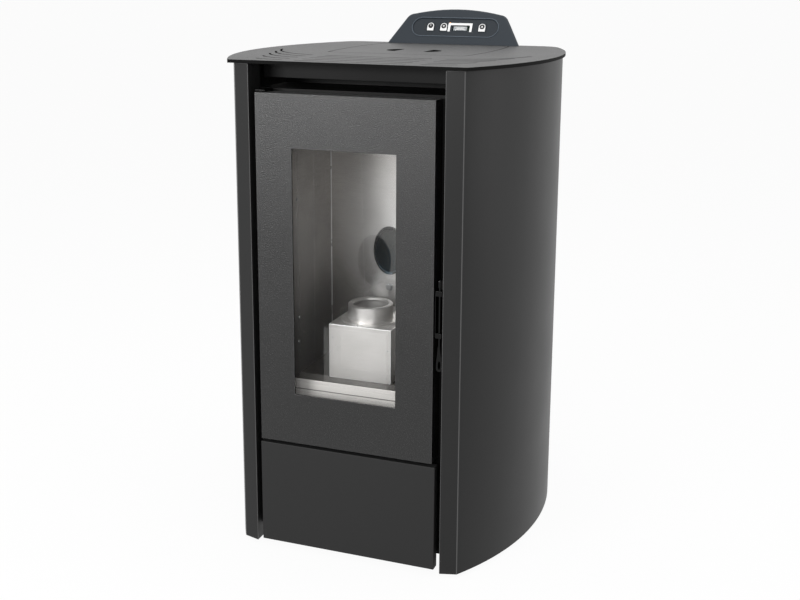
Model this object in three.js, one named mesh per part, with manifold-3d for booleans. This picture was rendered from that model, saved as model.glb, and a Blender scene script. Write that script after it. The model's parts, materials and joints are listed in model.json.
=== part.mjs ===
// A pellet stove with curved sides: millimetres, +Z up, front towards -Y, origin at the middle of its footprint.
// Heights below are measured from the bottom edge of the casing, depths from the plane of the door's face.
import * as THREE from 'three';
import { mergeVertices } from 'three/addons/utils/BufferGeometryUtils.js';
import Module from 'manifold-3d';

const wasm = await Module();
wasm.setup();

// ---------------------------------------------------------------- driving dimensions
const gap = 0.3; // between neighbours that touch
const floorGap = 6; // casing held off the floor by its feet

const casingHeight = 765;
const casingWidest = 500; // across the curved sides
const casingCorner = 360; // across the outer edges of the two front strips
const sideLength = 488; // depth of the curved sides
const casingSheet = 2;
const openingWidth = 308; // between the inner edges of the front strips
const stripSetback = 7.5; // outer edge of a front strip behind its inner edge
const frontFlange = 40;
const rearFlange = 20;

const plateThickness = 5;
const plateOverhang = 3;
const plateCorner = 372; // width of the top plate's front edge
const plateRearRadius = 30;
const slotWidth = 3.6;
const slotPitch = 28;
const slotFirst = 20;
const slotRows = 5;
const slotFrontLength = 174;
const bridgeWidth = 23;

const lidFront = 208;
const lidRear = sideLength - 26;
const lidWidth = 232;
const lidBulge = 8;
const lidSeam = 1.6;
const gripHoleLength = 52;
const gripHoleWidth = 22;
const gripBar = 50;
const gripDepth = lidFront + 89;
const hingePin = 2.5;
const hingeKnuckle = 30;
const hingeSpread = 156;

const doorLeft = -143.5;
const doorRight = 140;
const doorBottom = 178;
const doorTop = casingHeight - 42;
const doorDepth = 28;
const doorSheet = 2.5;
const windowLeft = -85;
const windowRight = 81;
const windowBottom = 258.5;
const windowTop = doorTop - 80.5;
const glassThickness = 4;
const glassLap = 16;
const gasketSize = 5.4;
const gasketInset = 9;
const doorPinRadius = 3;
const doorPinInset = 6.5; // from the door's left side
const doorPinDepth = 10;

const frameDepth = 34; // front face of the inner front frame
const frameThickness = 3;
const frameTop = doorTop + 4;
const outletDepth = 130;
const fireWidth = 212;
const fireFloor = 272;
const fireCeiling = frameTop - 27;
const fireBack = 190;
const fireSheet = 3;
const sillBottom = 236;
const linerThickness = 2;
const linerTop = fireCeiling - 60;

const burnerWidth = 104;
const burnerFront = 58;
const burnerTop = 360;
const burnerSheet = 2;
const potDepth = 104; // centre of the burn pot behind the door's face
const potRadius = 34;
const potFlange = 46;
const potCollar = 24;
const potCup = 48;
const potWall = 4;

const chuteRadius = 28;
const chuteWall = 3;
const chuteHeight = casingHeight * 0.596;
const chuteAngle = Math.PI / 4;
const chuteLength = 78;
const augerRadius = 31;
const augerWall = 3;
const augerShaft = 6;
const augerClearance = 2;
const augerPitch = 40;
const augerAbove = 32; // from the chute's axis to the tube's upper end
const augerBelow = 150; // and to its lower end

const flueRadius = 40;
const flueWall = 1.5;
const flueX = 101;
const flueHeight = 158;
const flueReach = 45; // behind the casing
const intakeRadius = 25;
const intakeX = -95;
const intakeHeight = 130;
const intakeReach = 32;

const consoleX = 8;
const consoleBase = 248;
const consoleTop = 182;
const consoleSide = 60;
const consoleArch = 11;
const consoleThickness = 24;
const consoleLean = Math.PI / 6;
const consoleInset = 24; // front foot ahead of the top plate's rear edge
const bezelWidth = 160;
const bezelHeight = 34;
const bezelDepth = 3;
const keySize = 15;
const keyTravel = 1.2;

const lowerPanelBottom = 5;
const lowerPanelTop = 172.5;
const lowerPanelWidth = 290;
const lowerPanelDepth = 15;

// ---------------------------------------------------------------- derived planes
const halfSide = sideLength / 2;
const front = -(halfSide + stripSetback);
const rear = halfSide;
const plateRear = rear + plateOverhang;
const plateTop = casingHeight + gap + plateThickness;
const openingHalf = openingWidth / 2;
const fromFront = (depth) => front + depth;

// ---------------------------------------------------------------- materials
const finish = (color, roughness, metalness, extra = {}) =>
  new THREE.MeshStandardMaterial({ color, roughness, metalness, ...extra });
const satinBlack = finish(0x2b2c2e, 0.5, 0.4);
const texturedBlack = finish(0x303132, 0.75, 0.3);
const plateGrey = finish(0x4c4d4e, 0.8, 0.3);
const brushedSteel = finish(0xb8b5b0, 0.4, 0.9);
const castSteel = finish(0xc4c2bd, 0.55, 0.8);
const zincSteel = finish(0x9a9c9e, 0.45, 0.8);
const darkSteel = finish(0x1b1b1c, 0.6, 0.5);
const consolePlastic = finish(0x3b4248, 0.6, 0.0);
const bezelPlastic = finish(0x2c3136, 0.5, 0.0);
const keyPlastic = finish(0xe9e9e6, 0.5, 0.0);
const rope = finish(0x6a6862, 0.95, 0.0);
const glass = finish(0x99a09c, 0.05, 0.0, { transparent: true, opacity: 0.3 });
const rubber = finish(0x161616, 0.8, 0.0);

// ---------------------------------------------------------------- solid tools
function signedVolume(geometry) {
  const p = geometry.attributes.position;
  const index = geometry.index;
  const a = new THREE.Vector3();
  const b = new THREE.Vector3();
  const c = new THREE.Vector3();
  let volume = 0;
  for (let i = 0; i < index.count; i += 3) {
    a.fromBufferAttribute(p, index.getX(i));
    b.fromBufferAttribute(p, index.getX(i + 1));
    c.fromBufferAttribute(p, index.getX(i + 2));
    volume += a.dot(b.cross(c));
  }
  return volume / 6;
}

// One skin with shared corners, no empty triangles and its faces outward.
function skin(source) {
  const geometry = source.clone();
  geometry.deleteAttribute('normal');
  geometry.deleteAttribute('uv');
  const merged = mergeVertices(geometry, 1e-4);
  const kept = [];
  for (let i = 0; i < merged.index.count; i += 3) {
    const [a, b, c] = [0, 1, 2].map((k) => merged.index.getX(i + k));
    if (a !== b && b !== c && c !== a) kept.push(a, b, c);
  }
  merged.setIndex(kept);
  if (signedVolume(merged) < 0) {
    for (let i = 0; i < kept.length; i += 3) [kept[i], kept[i + 1]] = [kept[i + 1], kept[i]];
    merged.setIndex(kept);
  }
  return merged;
}

function toManifold(geometry) {
  const closed = skin(geometry);
  return new wasm.Manifold(new wasm.Mesh({
    numProp: 3,
    vertProperties: new Float32Array(closed.attributes.position.array),
    triVerts: new Uint32Array(closed.index.array),
  }));
}

function fromManifold(body) {
  const mesh = body.getMesh();
  const geometry = new THREE.BufferGeometry();
  geometry.setAttribute('position', new THREE.BufferAttribute(new Float32Array(mesh.vertProperties), 3));
  geometry.setIndex(Array.from(mesh.triVerts));
  return geometry;
}

const join = (first, ...others) =>
  fromManifold(others.reduce((body, other) => body.add(toManifold(other)), toManifold(first)));
const cut = (first, ...tools) =>
  fromManifold(tools.reduce((body, tool) => body.subtract(toManifold(tool)), toManifold(first)));
const common = (first, second) => fromManifold(toManifold(first).intersect(toManifold(second)));

// ---------------------------------------------------------------- shape tools
const block = (x0, x1, y0, y1, z0, z1) =>
  new THREE.BoxGeometry(x1 - x0, y1 - y0, z1 - z0)
    .translate((x0 + x1) / 2, (y0 + y1) / 2, (z0 + z1) / 2);

// A shape drawn in x and y, raised from z0 by a thickness.
const raised = (shape, z0, thickness, curveSegments = 12) =>
  new THREE.ExtrudeGeometry(shape, { depth: thickness, bevelEnabled: false, curveSegments })
    .translate(0, 0, z0);

// A shape drawn in x and z, from y0 backwards by a thickness.
const upright = (shape, y0, thickness, curveSegments = 12) =>
  new THREE.ExtrudeGeometry(shape, { depth: thickness, bevelEnabled: false, curveSegments })
    .rotateX(Math.PI / 2).translate(0, y0 + thickness, 0);

// A shape drawn in y and z, from x0 to the right by a thickness.
const sideways = (shape, x0, thickness, curveSegments = 12) =>
  new THREE.ExtrudeGeometry(shape, { depth: thickness, bevelEnabled: false, curveSegments })
    .rotateX(Math.PI / 2).rotateZ(Math.PI / 2).translate(x0, 0, 0);

function rectangle(x0, x1, y0, y1, Kind = THREE.Shape) {
  const shape = new Kind();
  shape.moveTo(x0, y0);
  shape.lineTo(x1, y0);
  shape.lineTo(x1, y1);
  shape.lineTo(x0, y1);
  shape.closePath();
  return shape;
}

function roundHole(x, y, radius) {
  const hole = new THREE.Path();
  hole.absarc(x, y, radius, 0, 2 * Math.PI, false);
  return hole;
}

function ellipse(x, y, halfWidth, halfHeight) {
  const shape = new THREE.Shape();
  shape.absellipse(x, y, halfWidth, halfHeight, 0, 2 * Math.PI, false, 0);
  return shape;
}

// A turned form: pairs of radius and height, round the Z axis.
function turned(profile, segments = 24) {
  const points = profile.map(([r, h]) => new THREE.Vector2(r, h));
  return skin(new THREE.LatheGeometry(points, segments).rotateX(Math.PI / 2));
}
const rod = (radius, z0, z1, segments = 16) =>
  turned([[0, z0], [radius, z0], [radius, z1], [0, z1]], segments);
const pipe = (outer, inner, z0, z1, segments = 32) =>
  turned([[inner, z0], [outer, z0], [outer, z1], [inner, z1], [inner, z0]], segments);
const alongX = (geometry) => geometry.rotateY(Math.PI / 2);
const alongY = (geometry) => geometry.rotateX(-Math.PI / 2);

// The circle through two corners level with each other and the widest point between them.
function sideCircle(cornerHalf, cornerY, widestHalf) {
  const centre = (cornerHalf ** 2 + cornerY ** 2 - widestHalf ** 2) / (2 * (cornerHalf - widestHalf));
  return { centre, radius: widestHalf - centre };
}
const widthAt = (circle, y, inset = 0) =>
  circle.centre + Math.sqrt((circle.radius - inset) ** 2 - y * y);

const stove = new THREE.Group();

function add(name, geometry, material, parent = stove) {
  const mesh = new THREE.Mesh(skin(geometry), material);
  mesh.geometry.computeVertexNormals();
  mesh.name = name;
  parent.add(mesh);
  return mesh;
}

const mirrored = (geometry) => skin(geometry.clone().scale(-1, 1, 1));

// ---------------------------------------------------------------- casing
const casingCircle = sideCircle(casingCorner / 2, halfSide, casingWidest / 2);

function sideCasing() {
  const { centre, radius } = casingCircle;
  const corner = casingCorner / 2;
  const outerEnd = Math.asin(halfSide / radius);
  const innerRadius = radius - casingSheet;
  const innerY = halfSide - casingSheet;
  const innerEnd = Math.asin(innerY / innerRadius);
  const outline = new THREE.Shape();
  outline.moveTo(openingHalf, front + frontFlange);
  outline.lineTo(openingHalf, front);
  outline.lineTo(corner, -halfSide);
  outline.absarc(centre, 0, radius, -outerEnd, outerEnd, false);
  outline.lineTo(corner - rearFlange, rear);
  outline.lineTo(corner - rearFlange, rear - casingSheet);
  outline.absarc(centre, 0, innerRadius, innerEnd, -innerEnd, true);
  outline.lineTo(openingHalf + casingSheet, front + casingSheet * 1.1);
  outline.lineTo(openingHalf + casingSheet, front + frontFlange);
  outline.closePath();
  return raised(outline, 0, casingHeight, 26);
}
const rightCasing = sideCasing();
add('side_casing_right', rightCasing, satinBlack);
add('side_casing_left', mirrored(rightCasing), satinBlack);

const baseZ = 12;
const baseThickness = 2.5;
const footSpreadX = casingCorner - 40;
const footSpreadY = sideLength - 158;
const footStem = 4;
function baseOutline() {
  const inset = casingSheet + gap;
  const { centre, radius } = casingCircle;
  const frontY = fromFront(frontFlange) + gap;
  const rearY = rear - inset;
  const outline = new THREE.Shape();
  const start = Math.asin(frontY / (radius - inset));
  const end = Math.asin(rearY / (radius - inset));
  outline.absarc(centre, 0, radius - inset, start, end, false);
  outline.absarc(-centre, 0, radius - inset, Math.PI - end, Math.PI - start, false);
  outline.closePath();
  for (const sx of [-1, 1]) {
    for (const sy of [-1, 1]) {
      outline.holes.push(roundHole(sx * footSpreadX / 2, sy * footSpreadY / 2, footStem + gap));
    }
  }
  return outline;
}
add('base_plate', raised(baseOutline(), baseZ, baseThickness, 20), zincSteel);

for (const [sx, side] of [[-1, 'left'], [1, 'right']]) {
  for (const [sy, end] of [[-1, 'front'], [1, 'rear']]) {
    const foot = turned([
      [0, -floorGap], [15, -floorGap], [17, -floorGap + 1.5], [17, -floorGap + 4], [footStem, -floorGap + 6],
      [footStem, 4], [8, 4], [8, baseZ - gap], [footStem, baseZ - gap], [footStem, baseZ + 16], [0, baseZ + 16],
    ], 20).translate(sx * footSpreadX / 2, sy * footSpreadY / 2, 0);
    add(`foot_${end}_${side}`, foot, rubber);
  }
}

// ---------------------------------------------------------------- top plate, its slots and the hopper lid
const lidHalf = lidWidth / 2;
const hingeY = fromFront(lidRear) + 1;
const hingeZ = plateTop - plateThickness / 2;
const hingeClear = 3; // from the hinge axis to the opening's rear edge
const openingRear = hingeY + hingeClear;

// The lid's outline, or the opening round it when grown by the seam.
function lidOutline(grow, rearY, Kind = THREE.Shape) {
  const y0 = fromFront(lidFront) - grow;
  const half = lidHalf + grow;
  const bulge = half + lidBulge;
  const mid = (y0 + rearY) / 2;
  const corner = 6;
  const outline = new Kind();
  outline.moveTo(-half + corner, y0);
  outline.lineTo(half - corner, y0);
  outline.quadraticCurveTo(half, y0, half, y0 + corner);
  outline.quadraticCurveTo(bulge + lidBulge, mid, half, rearY);
  outline.lineTo(-half, rearY);
  outline.quadraticCurveTo(-bulge - lidBulge, mid, -half, y0 + corner);
  outline.quadraticCurveTo(-half, y0, -half + corner, y0);
  return outline;
}

// A slot of even width along a curve, with round ends.
function slotHole(curve, steps) {
  const half = slotWidth / 2;
  const left = [];
  const right = [];
  for (let i = 0; i <= steps; i += 1) {
    const p = curve.getPoint(i / steps);
    const t = curve.getTangent(i / steps);
    left.push(new THREE.Vector2(p.x - t.y * half, p.y + t.x * half));
    right.push(new THREE.Vector2(p.x + t.y * half, p.y - t.x * half));
  }
  const t0 = curve.getTangent(0);
  const t1 = curve.getTangent(1);
  const tail = curve.getPoint(0).clone().addScaledVector(t0, -half);
  const tip = curve.getPoint(1).clone().addScaledVector(t1, half);
  return new THREE.Path([...left, tip, ...right.reverse(), tail]);
}

function slotRow(row) {
  const y = fromFront(slotFirst + row * slotPitch);
  const endX = slotFrontLength / 2;
  const startX = endX + bridgeWidth;
  const straight = new THREE.LineCurve(new THREE.Vector2(-endX, y), new THREE.Vector2(endX, y));
  const reachX = startX + 48 + row * 14;
  const reachY = y + 16 + row * 23;
  const curves = [-1, 1].map((s) => new THREE.QuadraticBezierCurve(
    new THREE.Vector2(s * startX, y + 2),
    new THREE.Vector2(s * (startX + (reachX - startX) * 0.72), y + 4 + row * 4),
    new THREE.Vector2(s * reachX, reachY),
  ));
  return [slotHole(straight, 1), ...curves.map((curve) => slotHole(curve, 5 + row))];
}

function topPlateOutline() {
  const frontY = front - plateOverhang;
  const circle = sideCircle(plateCorner / 2, frontY, casingWidest / 2 + plateOverhang);
  const roundStart = plateRear - plateRearRadius;
  const start = Math.asin(frontY / circle.radius);
  const end = Math.asin(roundStart / circle.radius);
  const rearHalf = widthAt(circle, plateRear);
  const outline = new THREE.Shape();
  outline.absarc(circle.centre, 0, circle.radius, start, end, false);
  outline.quadraticCurveTo(rearHalf + 4, plateRear, rearHalf - plateRearRadius * 0.8, plateRear);
  outline.lineTo(-rearHalf + plateRearRadius * 0.8, plateRear);
  outline.quadraticCurveTo(-rearHalf - 4, plateRear, -widthAt(circle, roundStart), roundStart);
  outline.absarc(-circle.centre, 0, circle.radius, Math.PI - end, Math.PI - start, false);
  outline.closePath();
  for (let row = 0; row < slotRows; row += 1) outline.holes.push(...slotRow(row));
  outline.holes.push(lidOutline(lidSeam, openingRear, THREE.Path));
  return outline;
}

const knuckleRadius = plateThickness / 2 - 0.05;
const hingeSides = [-1, 1].map((s) => s * hingeSpread / 2);
function topPlate() {
  let plate = raised(topPlateOutline(), casingHeight + gap, plateThickness, 20);
  for (const x of hingeSides) {
    const halfNotch = hingeKnuckle / 2 + 0.5;
    const cheek = 12;
    const lug = (s) => block(
      x + s * halfNotch - (s < 0 ? cheek : 0), x + s * halfNotch + (s > 0 ? cheek : 0),
      hingeY - 1.9, openingRear + 1, casingHeight + gap, plateTop,
    );
    plate = join(plate, lug(-1), lug(1));
    const bore = alongX(rod(hingePin / 2 + 0.12, -hingeKnuckle / 2 - 10, hingeKnuckle / 2 + 10, 12));
    plate = cut(plate, bore.translate(x, hingeY, hingeZ));
  }
  return plate;
}
add('top_plate', topPlate(), plateGrey);

function gripHole(s) {
  const straight = s * gripBar / 2;
  const y = fromFront(gripDepth);
  const half = gripHoleLength / 2;
  const hole = new THREE.Path();
  hole.moveTo(straight, y - half);
  hole.bezierCurveTo(straight + s * gripHoleWidth * 1.3, y - half * 0.8, straight + s * gripHoleWidth * 1.3,
    y + half * 0.8, straight, y + half);
  hole.closePath();
  return hole;
}

function hopperLid() {
  const outline = lidOutline(0, hingeY - 1);
  outline.holes.push(gripHole(-1), gripHole(1));
  let lid = raised(outline, casingHeight + gap, plateThickness, 12);
  for (const x of hingeSides) {
    // room for the plate's cheeks on both sides of the knuckle
    for (const s of [-1, 1]) {
      const inner = hingeKnuckle / 2;
      const x0 = x + s * inner + (s < 0 ? -14 : 0);
      lid = cut(lid, block(x0, x0 + 14, hingeY - 3.5, hingeY + 5, casingHeight - 1, plateTop + 1));
    }
    const knuckle = alongX(rod(knuckleRadius, -hingeKnuckle / 2, hingeKnuckle / 2, 16));
    const bore = alongX(rod(hingePin / 2 + 0.2, -hingeKnuckle, hingeKnuckle, 16));
    lid = cut(join(lid, knuckle.translate(x, hingeY, hingeZ)), bore.translate(x, hingeY, hingeZ));
  }
  return lid;
}
add('hopper_lid', hopperLid(), plateGrey);
for (const [i, side] of ['left', 'right'].entries()) {
  const pin = alongX(rod(hingePin / 2, -hingeKnuckle / 2 - 9, hingeKnuckle / 2 + 9, 12));
  add(`lid_hinge_pin_${side}`, pin.translate(hingeSides[i], hingeY, hingeZ), zincSteel);
}

// ---------------------------------------------------------------- front frame and warm-air outlet
const frameHalf = openingHalf - gap;
const fireHalf = fireWidth / 2;
const frameBack = frameDepth + frameThickness;
const fireOpeningTop = fireCeiling - 50;
const accessTop = 150;
const accessBottom = 34;
const accessHalf = 118;
const frameBottom = baseZ + baseThickness + gap;
{
  const outline = rectangle(-frameHalf, frameHalf, frameBottom, frameTop);
  outline.holes.push(rectangle(-fireHalf, fireHalf, sillBottom, fireOpeningTop, THREE.Path));
  outline.holes.push(rectangle(-accessHalf, accessHalf, accessBottom, accessTop, THREE.Path));
  const sheet = upright(outline, fromFront(frameDepth), frameThickness);
  // its top is folded back and up again behind the warm-air outlet
  const shelf = block(-frameHalf, frameHalf, fromFront(frameDepth), fromFront(outletDepth), frameTop - 2, frameTop);
  const rearWall = block(-frameHalf, frameHalf, fromFront(outletDepth) - 2, fromFront(outletDepth),
    frameTop - 2, casingHeight - gap);
  add('front_frame', join(sheet, shelf, rearWall), darkSteel);
}

const fasciaDepth = 52;
const fasciaBottom = casingHeight - 24;
{
  const plate = block(-frameHalf, frameHalf, fromFront(fasciaDepth), fromFront(fasciaDepth) + 2,
    fasciaBottom, casingHeight - gap);
  const lip = block(-frameHalf, frameHalf, fromFront(fasciaDepth), fromFront(fasciaDepth) + 16,
    fasciaBottom, fasciaBottom + 2);
  add('air_outlet_fascia', join(plate, lip), darkSteel);
}

// ---------------------------------------------------------------- fire chamber
const chamberFront = fromFront(frameBack) + gap;
const chamberBack = fromFront(fireBack);
const chuteAxisStart = new THREE.Vector3(0, chamberBack, chuteHeight);
// A bar along the chute's axis, from its own start, for the tube and for the holes it passes.
const onChute = (geometry) =>
  geometry.rotateX(-(Math.PI / 2 - chuteAngle)).translate(0, chuteAxisStart.y, chuteAxisStart.z);
const igniterHeight = 322;
const igniterRadius = 5;
const linerBoltHeight = 392;
const smokeX0 = 34;
const smokeX1 = 74;
const smokeTop = fireCeiling - 20;
const smokeSlotBottom = smokeTop - 28;
const boltRadius = 3;
{
  const half = fireHalf + fireSheet;
  const bottom = fireFloor - fireSheet - 2;
  const shell = cut(
    block(-half, half, chamberFront, chamberBack + fireSheet, bottom, fireCeiling + fireSheet),
    block(-fireHalf, fireHalf, chamberFront - 1, chamberBack, fireFloor - 2, fireCeiling),
    onChute(rod(chuteRadius + gap, -60, 90, 32)),
    alongY(rod(igniterRadius + 1, 0, 20, 16)).translate(0, chamberBack - 10, igniterHeight),
    block(smokeX0 + 4, smokeX1 - 4, chamberBack - 5, chamberBack + 9, smokeSlotBottom, smokeTop - 4),
    alongY(rod(boltRadius + gap, 0, 20, 12)).translate(0, chamberBack - 10, linerBoltHeight),
  );
  add('fire_chamber', shell, darkSteel);
}
{
  const half = fireHalf - gap;
  const sheet = block(-half, half, fromFront(frameDepth), chamberBack - gap, fireFloor - 2 + gap, fireFloor);
  const sill = block(-half, half, fromFront(frameDepth), fromFront(frameDepth) + 2, sillBottom + gap, fireFloor);
  add('chamber_floor', join(sheet, sill), brushedSteel);
}
{
  const x0 = fireHalf - linerThickness - gap;
  const plate = rectangle(chamberFront, chamberBack - gap, fireFloor + gap, linerTop);
  add('liner_right', sideways(plate, x0, linerThickness), brushedSteel);
  add('liner_left', sideways(plate, -x0 - linerThickness, linerThickness), brushedSteel);
  const backHalf = x0 - gap;
  const y0 = chamberBack - linerThickness - gap;
  const back = cut(
    block(-backHalf, backHalf, y0, y0 + linerThickness, fireFloor + gap, linerTop),
    onChute(rod(chuteRadius + gap, -60, 90, 32)),
    alongY(rod(igniterRadius + 1, 0, 20, 16)).translate(0, chamberBack - 10, igniterHeight),
    alongY(rod(boltRadius + gap, 0, 20, 12)).translate(0, chamberBack - 10, linerBoltHeight),
  );
  add('liner_back', back, brushedSteel);
  const bolt = join(
    alongY(rod(boltRadius, 0, 16, 12)).translate(0, y0 - gap, linerBoltHeight),
    alongY(rod(6.5, 0, 1.5, 20)).translate(0, y0 - gap - 1.5, linerBoltHeight),
    alongY(rod(4.8, 0, 4.5, 6)).translate(0, y0 - gap - 5.5, linerBoltHeight),
  );
  add('liner_bolt', bolt, zincSteel);
}
{
  // smoke passes over the front edge of this plate
  const plate = rectangle(fromFront(86), chamberBack - linerThickness - 2 * gap, linerTop + 2, linerTop + 5);
  const half = fireHalf - gap;
  const lip = block(-half, half, fromFront(86), fromFront(89), linerTop + 2, linerTop + 14);
  const leg = (s) => block(s > 0 ? half - 6 : -half, s > 0 ? half : -half + 6, fromFront(90),
    fromFront(180), linerTop + gap, linerTop + 3);
  add('baffle_plate', join(sideways(plate, -half, 2 * half), lip, leg(1), leg(-1)), darkSteel);
}

// ---------------------------------------------------------------- burner
const potY = fromFront(potDepth);
const burnerBack = chamberBack - linerThickness - 2 * gap;
{
  const half = burnerWidth / 2;
  const shell = cut(
    block(-half, half, fromFront(burnerFront), burnerBack, fireFloor + gap, burnerTop),
    block(-half + burnerSheet, half - burnerSheet, fromFront(burnerFront) + burnerSheet, burnerBack + 1,
      fireFloor - 1, burnerTop - burnerSheet),
    rod(potRadius + 0.6, burnerTop - 10, burnerTop + 10, 32).translate(0, potY, 0),
  );
  add('burner_box', shell, brushedSteel);
}
function burnPot() {
  const flangeZ = burnerTop + gap;
  const floorZ = burnerTop - potCup;
  const rim = flangeZ + 3 + potCollar;
  const inner = potRadius - potWall;
  let pot = turned([
    [0, floorZ], [inner - 1, floorZ], [potRadius, floorZ + 6], [potRadius, flangeZ], [potFlange, flangeZ],
    [potFlange, flangeZ + 3], [potRadius + 1.5, flangeZ + 3], [potRadius + 1.5, rim - 1.5], [potRadius, rim],
    [inner - 1, rim - 0.5], [inner - 2.5, rim - 3], [inner, rim - 8], [inner, floorZ + 7],
    [inner - 3, floorZ + 4], [0, floorZ + 4],
  ], 36).translate(0, potY, 0);
  const holes = [];
  for (const [count, ring] of [[6, 10], [10, 20]]) {
    for (let i = 0; i < count; i += 1) {
      const angle = (2 * Math.PI * i) / count;
      holes.push(rod(2.2, floorZ - 1, floorZ + 5, 6)
        .translate(ring * Math.cos(angle), potY + ring * Math.sin(angle), 0));
    }
  }
  // two slits either side of a lifting tab at the flange's front
  for (const x of [-4.3, 2.8]) {
    holes.push(block(x, x + 1.5, potY - potFlange - 1, potY - potFlange + 5, flangeZ - 1, flangeZ + 4));
  }
  pot = cut(pot, ...holes);
  return pot;
}
add('burn_pot', burnPot(), castSteel);
{
  const start = potY + potRadius + 3;
  const length = chamberBack + 26 - start;
  add('igniter', join(
    alongY(rod(igniterRadius, 0, length, 16)).translate(0, start, igniterHeight),
    alongY(rod(10, 0, 3, 20)).translate(0, chamberBack + fireSheet + gap, igniterHeight),
  ), zincSteel);
}

// ---------------------------------------------------------------- pellet feed
const augerAxisOffset = chuteLength + augerRadius + gap; // along the chute to the auger's axis
const chuteDirection = new THREE.Vector3(0, Math.cos(chuteAngle), Math.sin(chuteAngle));
const augerOrigin = chuteAxisStart.clone().addScaledVector(chuteDirection, augerAxisOffset);
const augerTurn = -(Math.PI / 2 + chuteAngle);
// The auger's own Z axis runs from its upper end down and to the rear.
const onAuger = (geometry) => geometry.rotateX(augerTurn).translate(0, augerOrigin.y, augerOrigin.z);
const augerDirection = new THREE.Vector3(0, Math.sin(chuteAngle), -Math.cos(chuteAngle));
{
  const length = chuteLength;
  const tube = onChute(pipe(chuteRadius, chuteRadius - chuteWall, -70, length, 32));
  const keep = block(-60, 60, chamberBack - linerThickness - gap - 1.5, chamberBack + 200, 0, 900);
  add('feed_chute', common(tube, keep), darkSteel);
}
const neckAlong = 92; // hopper outlet along the auger
const neckHalf = 21;
const neckCentre = augerOrigin.clone().addScaledVector(augerDirection, neckAlong);
const hopperBottom = neckCentre.z + augerRadius * 1.42 + neckHalf + 8;
{
  const inner = augerRadius - augerWall;
  const tube = onAuger(pipe(augerRadius, inner, -augerAbove, augerBelow, 32));
  const neck = block(-neckHalf - 2, neckHalf + 2, neckCentre.y - neckHalf - 2, neckCentre.y + neckHalf + 2,
    neckCentre.z, hopperBottom - gap);
  const bore = onAuger(rod(inner, -augerAbove - 1, augerBelow + 1, 32));
  const throat = block(-neckHalf, neckHalf, neckCentre.y - neckHalf, neckCentre.y + neckHalf,
    neckCentre.z, hopperBottom + 5);
  const outlet = onChute(rod(chuteRadius - chuteWall, chuteLength - 10, augerAxisOffset, 32));
  const flange = onAuger(pipe(augerRadius + 8, inner, augerBelow - 4, augerBelow, 32));
  const bearing = onAuger(pipe(augerRadius, augerShaft + gap, -augerAbove, -augerAbove + 7, 32));
  add('auger_tube', join(cut(join(tube, neck, flange), bore, throat, outlet), bearing), zincSteel);
}
function augerScrew() {
  const outer = augerRadius - augerWall - augerClearance;
  const inner = augerShaft - 0.8;
  const start = -augerAbove + 10;
  const end = augerBelow - 8;
  const turns = (end - start) / augerPitch;
  const steps = Math.round(turns * 16);
  const positions = [];
  const faces = [];
  const web = 2.4;
  for (let i = 0; i <= steps; i += 1) {
    const angle = (2 * Math.PI * turns * i) / steps;
    const z = start + (end - start - web) * (i / steps);
    for (const [radius, lift] of [[inner, 0], [outer, 0], [outer, web], [inner, web]]) {
      positions.push(radius * Math.cos(angle), radius * Math.sin(angle), z + lift);
    }
  }
  for (let i = 0; i < steps; i += 1) {
    for (let k = 0; k < 4; k += 1) {
      const a = i * 4 + k;
      const b = i * 4 + ((k + 1) % 4);
      faces.push(a, b, b + 4, a, b + 4, a + 4);
    }
  }
  const last = steps * 4;
  faces.push(0, 2, 1, 0, 3, 2, last, last + 1, last + 2, last, last + 2, last + 3);
  const flight = new THREE.BufferGeometry();
  flight.setAttribute('position', new THREE.BufferAttribute(new Float32Array(positions), 3));
  flight.setIndex(faces);
  return onAuger(join(flight, rod(augerShaft, -augerAbove + 1, augerBelow + 16, 16)));
}
add('auger_screw', augerScrew(), zincSteel);
{
  const z0 = augerBelow + gap;
  const can = turned([[0, z0 + 30], [22, z0 + 30], [22, z0 + 58], [18, z0 + 62], [0, z0 + 62]], 24);
  const gearbox = cut(block(-30, 30, -26, 26, z0, z0 + 34), rod(augerShaft + gap, z0 - 1, z0 + 18, 16));
  add('auger_motor', onAuger(join(gearbox, can)), zincSteel);
}
function hopper() {
  const wall = 1.5;
  const rimHalf = lidHalf + 10;
  const rimFront = fromFront(lidFront) - 4;
  const rimRear = hingeY + 8;
  const topZ = casingHeight;
  const shoulder = topZ - 60;
  const flangeWidth = 10;
  const form = (inset, extra) => {
    const levels = [
      [topZ + extra, rimHalf - inset, rimFront + inset, rimRear - inset],
      [shoulder, rimHalf - inset, rimFront + inset, rimRear - inset],
      [hopperBottom + 12, neckHalf + 2 - inset, neckCentre.y - neckHalf - 2 + inset,
        neckCentre.y + neckHalf + 2 - inset],
      [hopperBottom - extra, neckHalf + 2 - inset, neckCentre.y - neckHalf - 2 + inset,
        neckCentre.y + neckHalf + 2 - inset],
    ];
    const positions = [];
    for (const [z, half, y0, y1] of levels) {
      positions.push(-half, y0, z, half, y0, z, half, y1, z, -half, y1, z);
    }
    const faces = [0, 1, 2, 0, 2, 3];
    for (let i = 0; i < levels.length - 1; i += 1) {
      for (let k = 0; k < 4; k += 1) {
        const a = i * 4 + k;
        const b = i * 4 + ((k + 1) % 4);
        faces.push(a, a + 4, b + 4, a, b + 4, b);
      }
    }
    const n = (levels.length - 1) * 4;
    faces.push(n, n + 2, n + 1, n, n + 3, n + 2);
    const geometry = new THREE.BufferGeometry();
    geometry.setAttribute('position', new THREE.BufferAttribute(new Float32Array(positions), 3));
    geometry.setIndex(faces);
    return geometry;
  };
  const flange = block(-rimHalf - flangeWidth, rimHalf + flangeWidth, rimFront - flangeWidth,
    rimRear + flangeWidth, topZ - 1.5, topZ);
  return cut(join(form(0, 0), flange), form(wall, 2));
}
add('hopper', hopper(), zincSteel);

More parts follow.
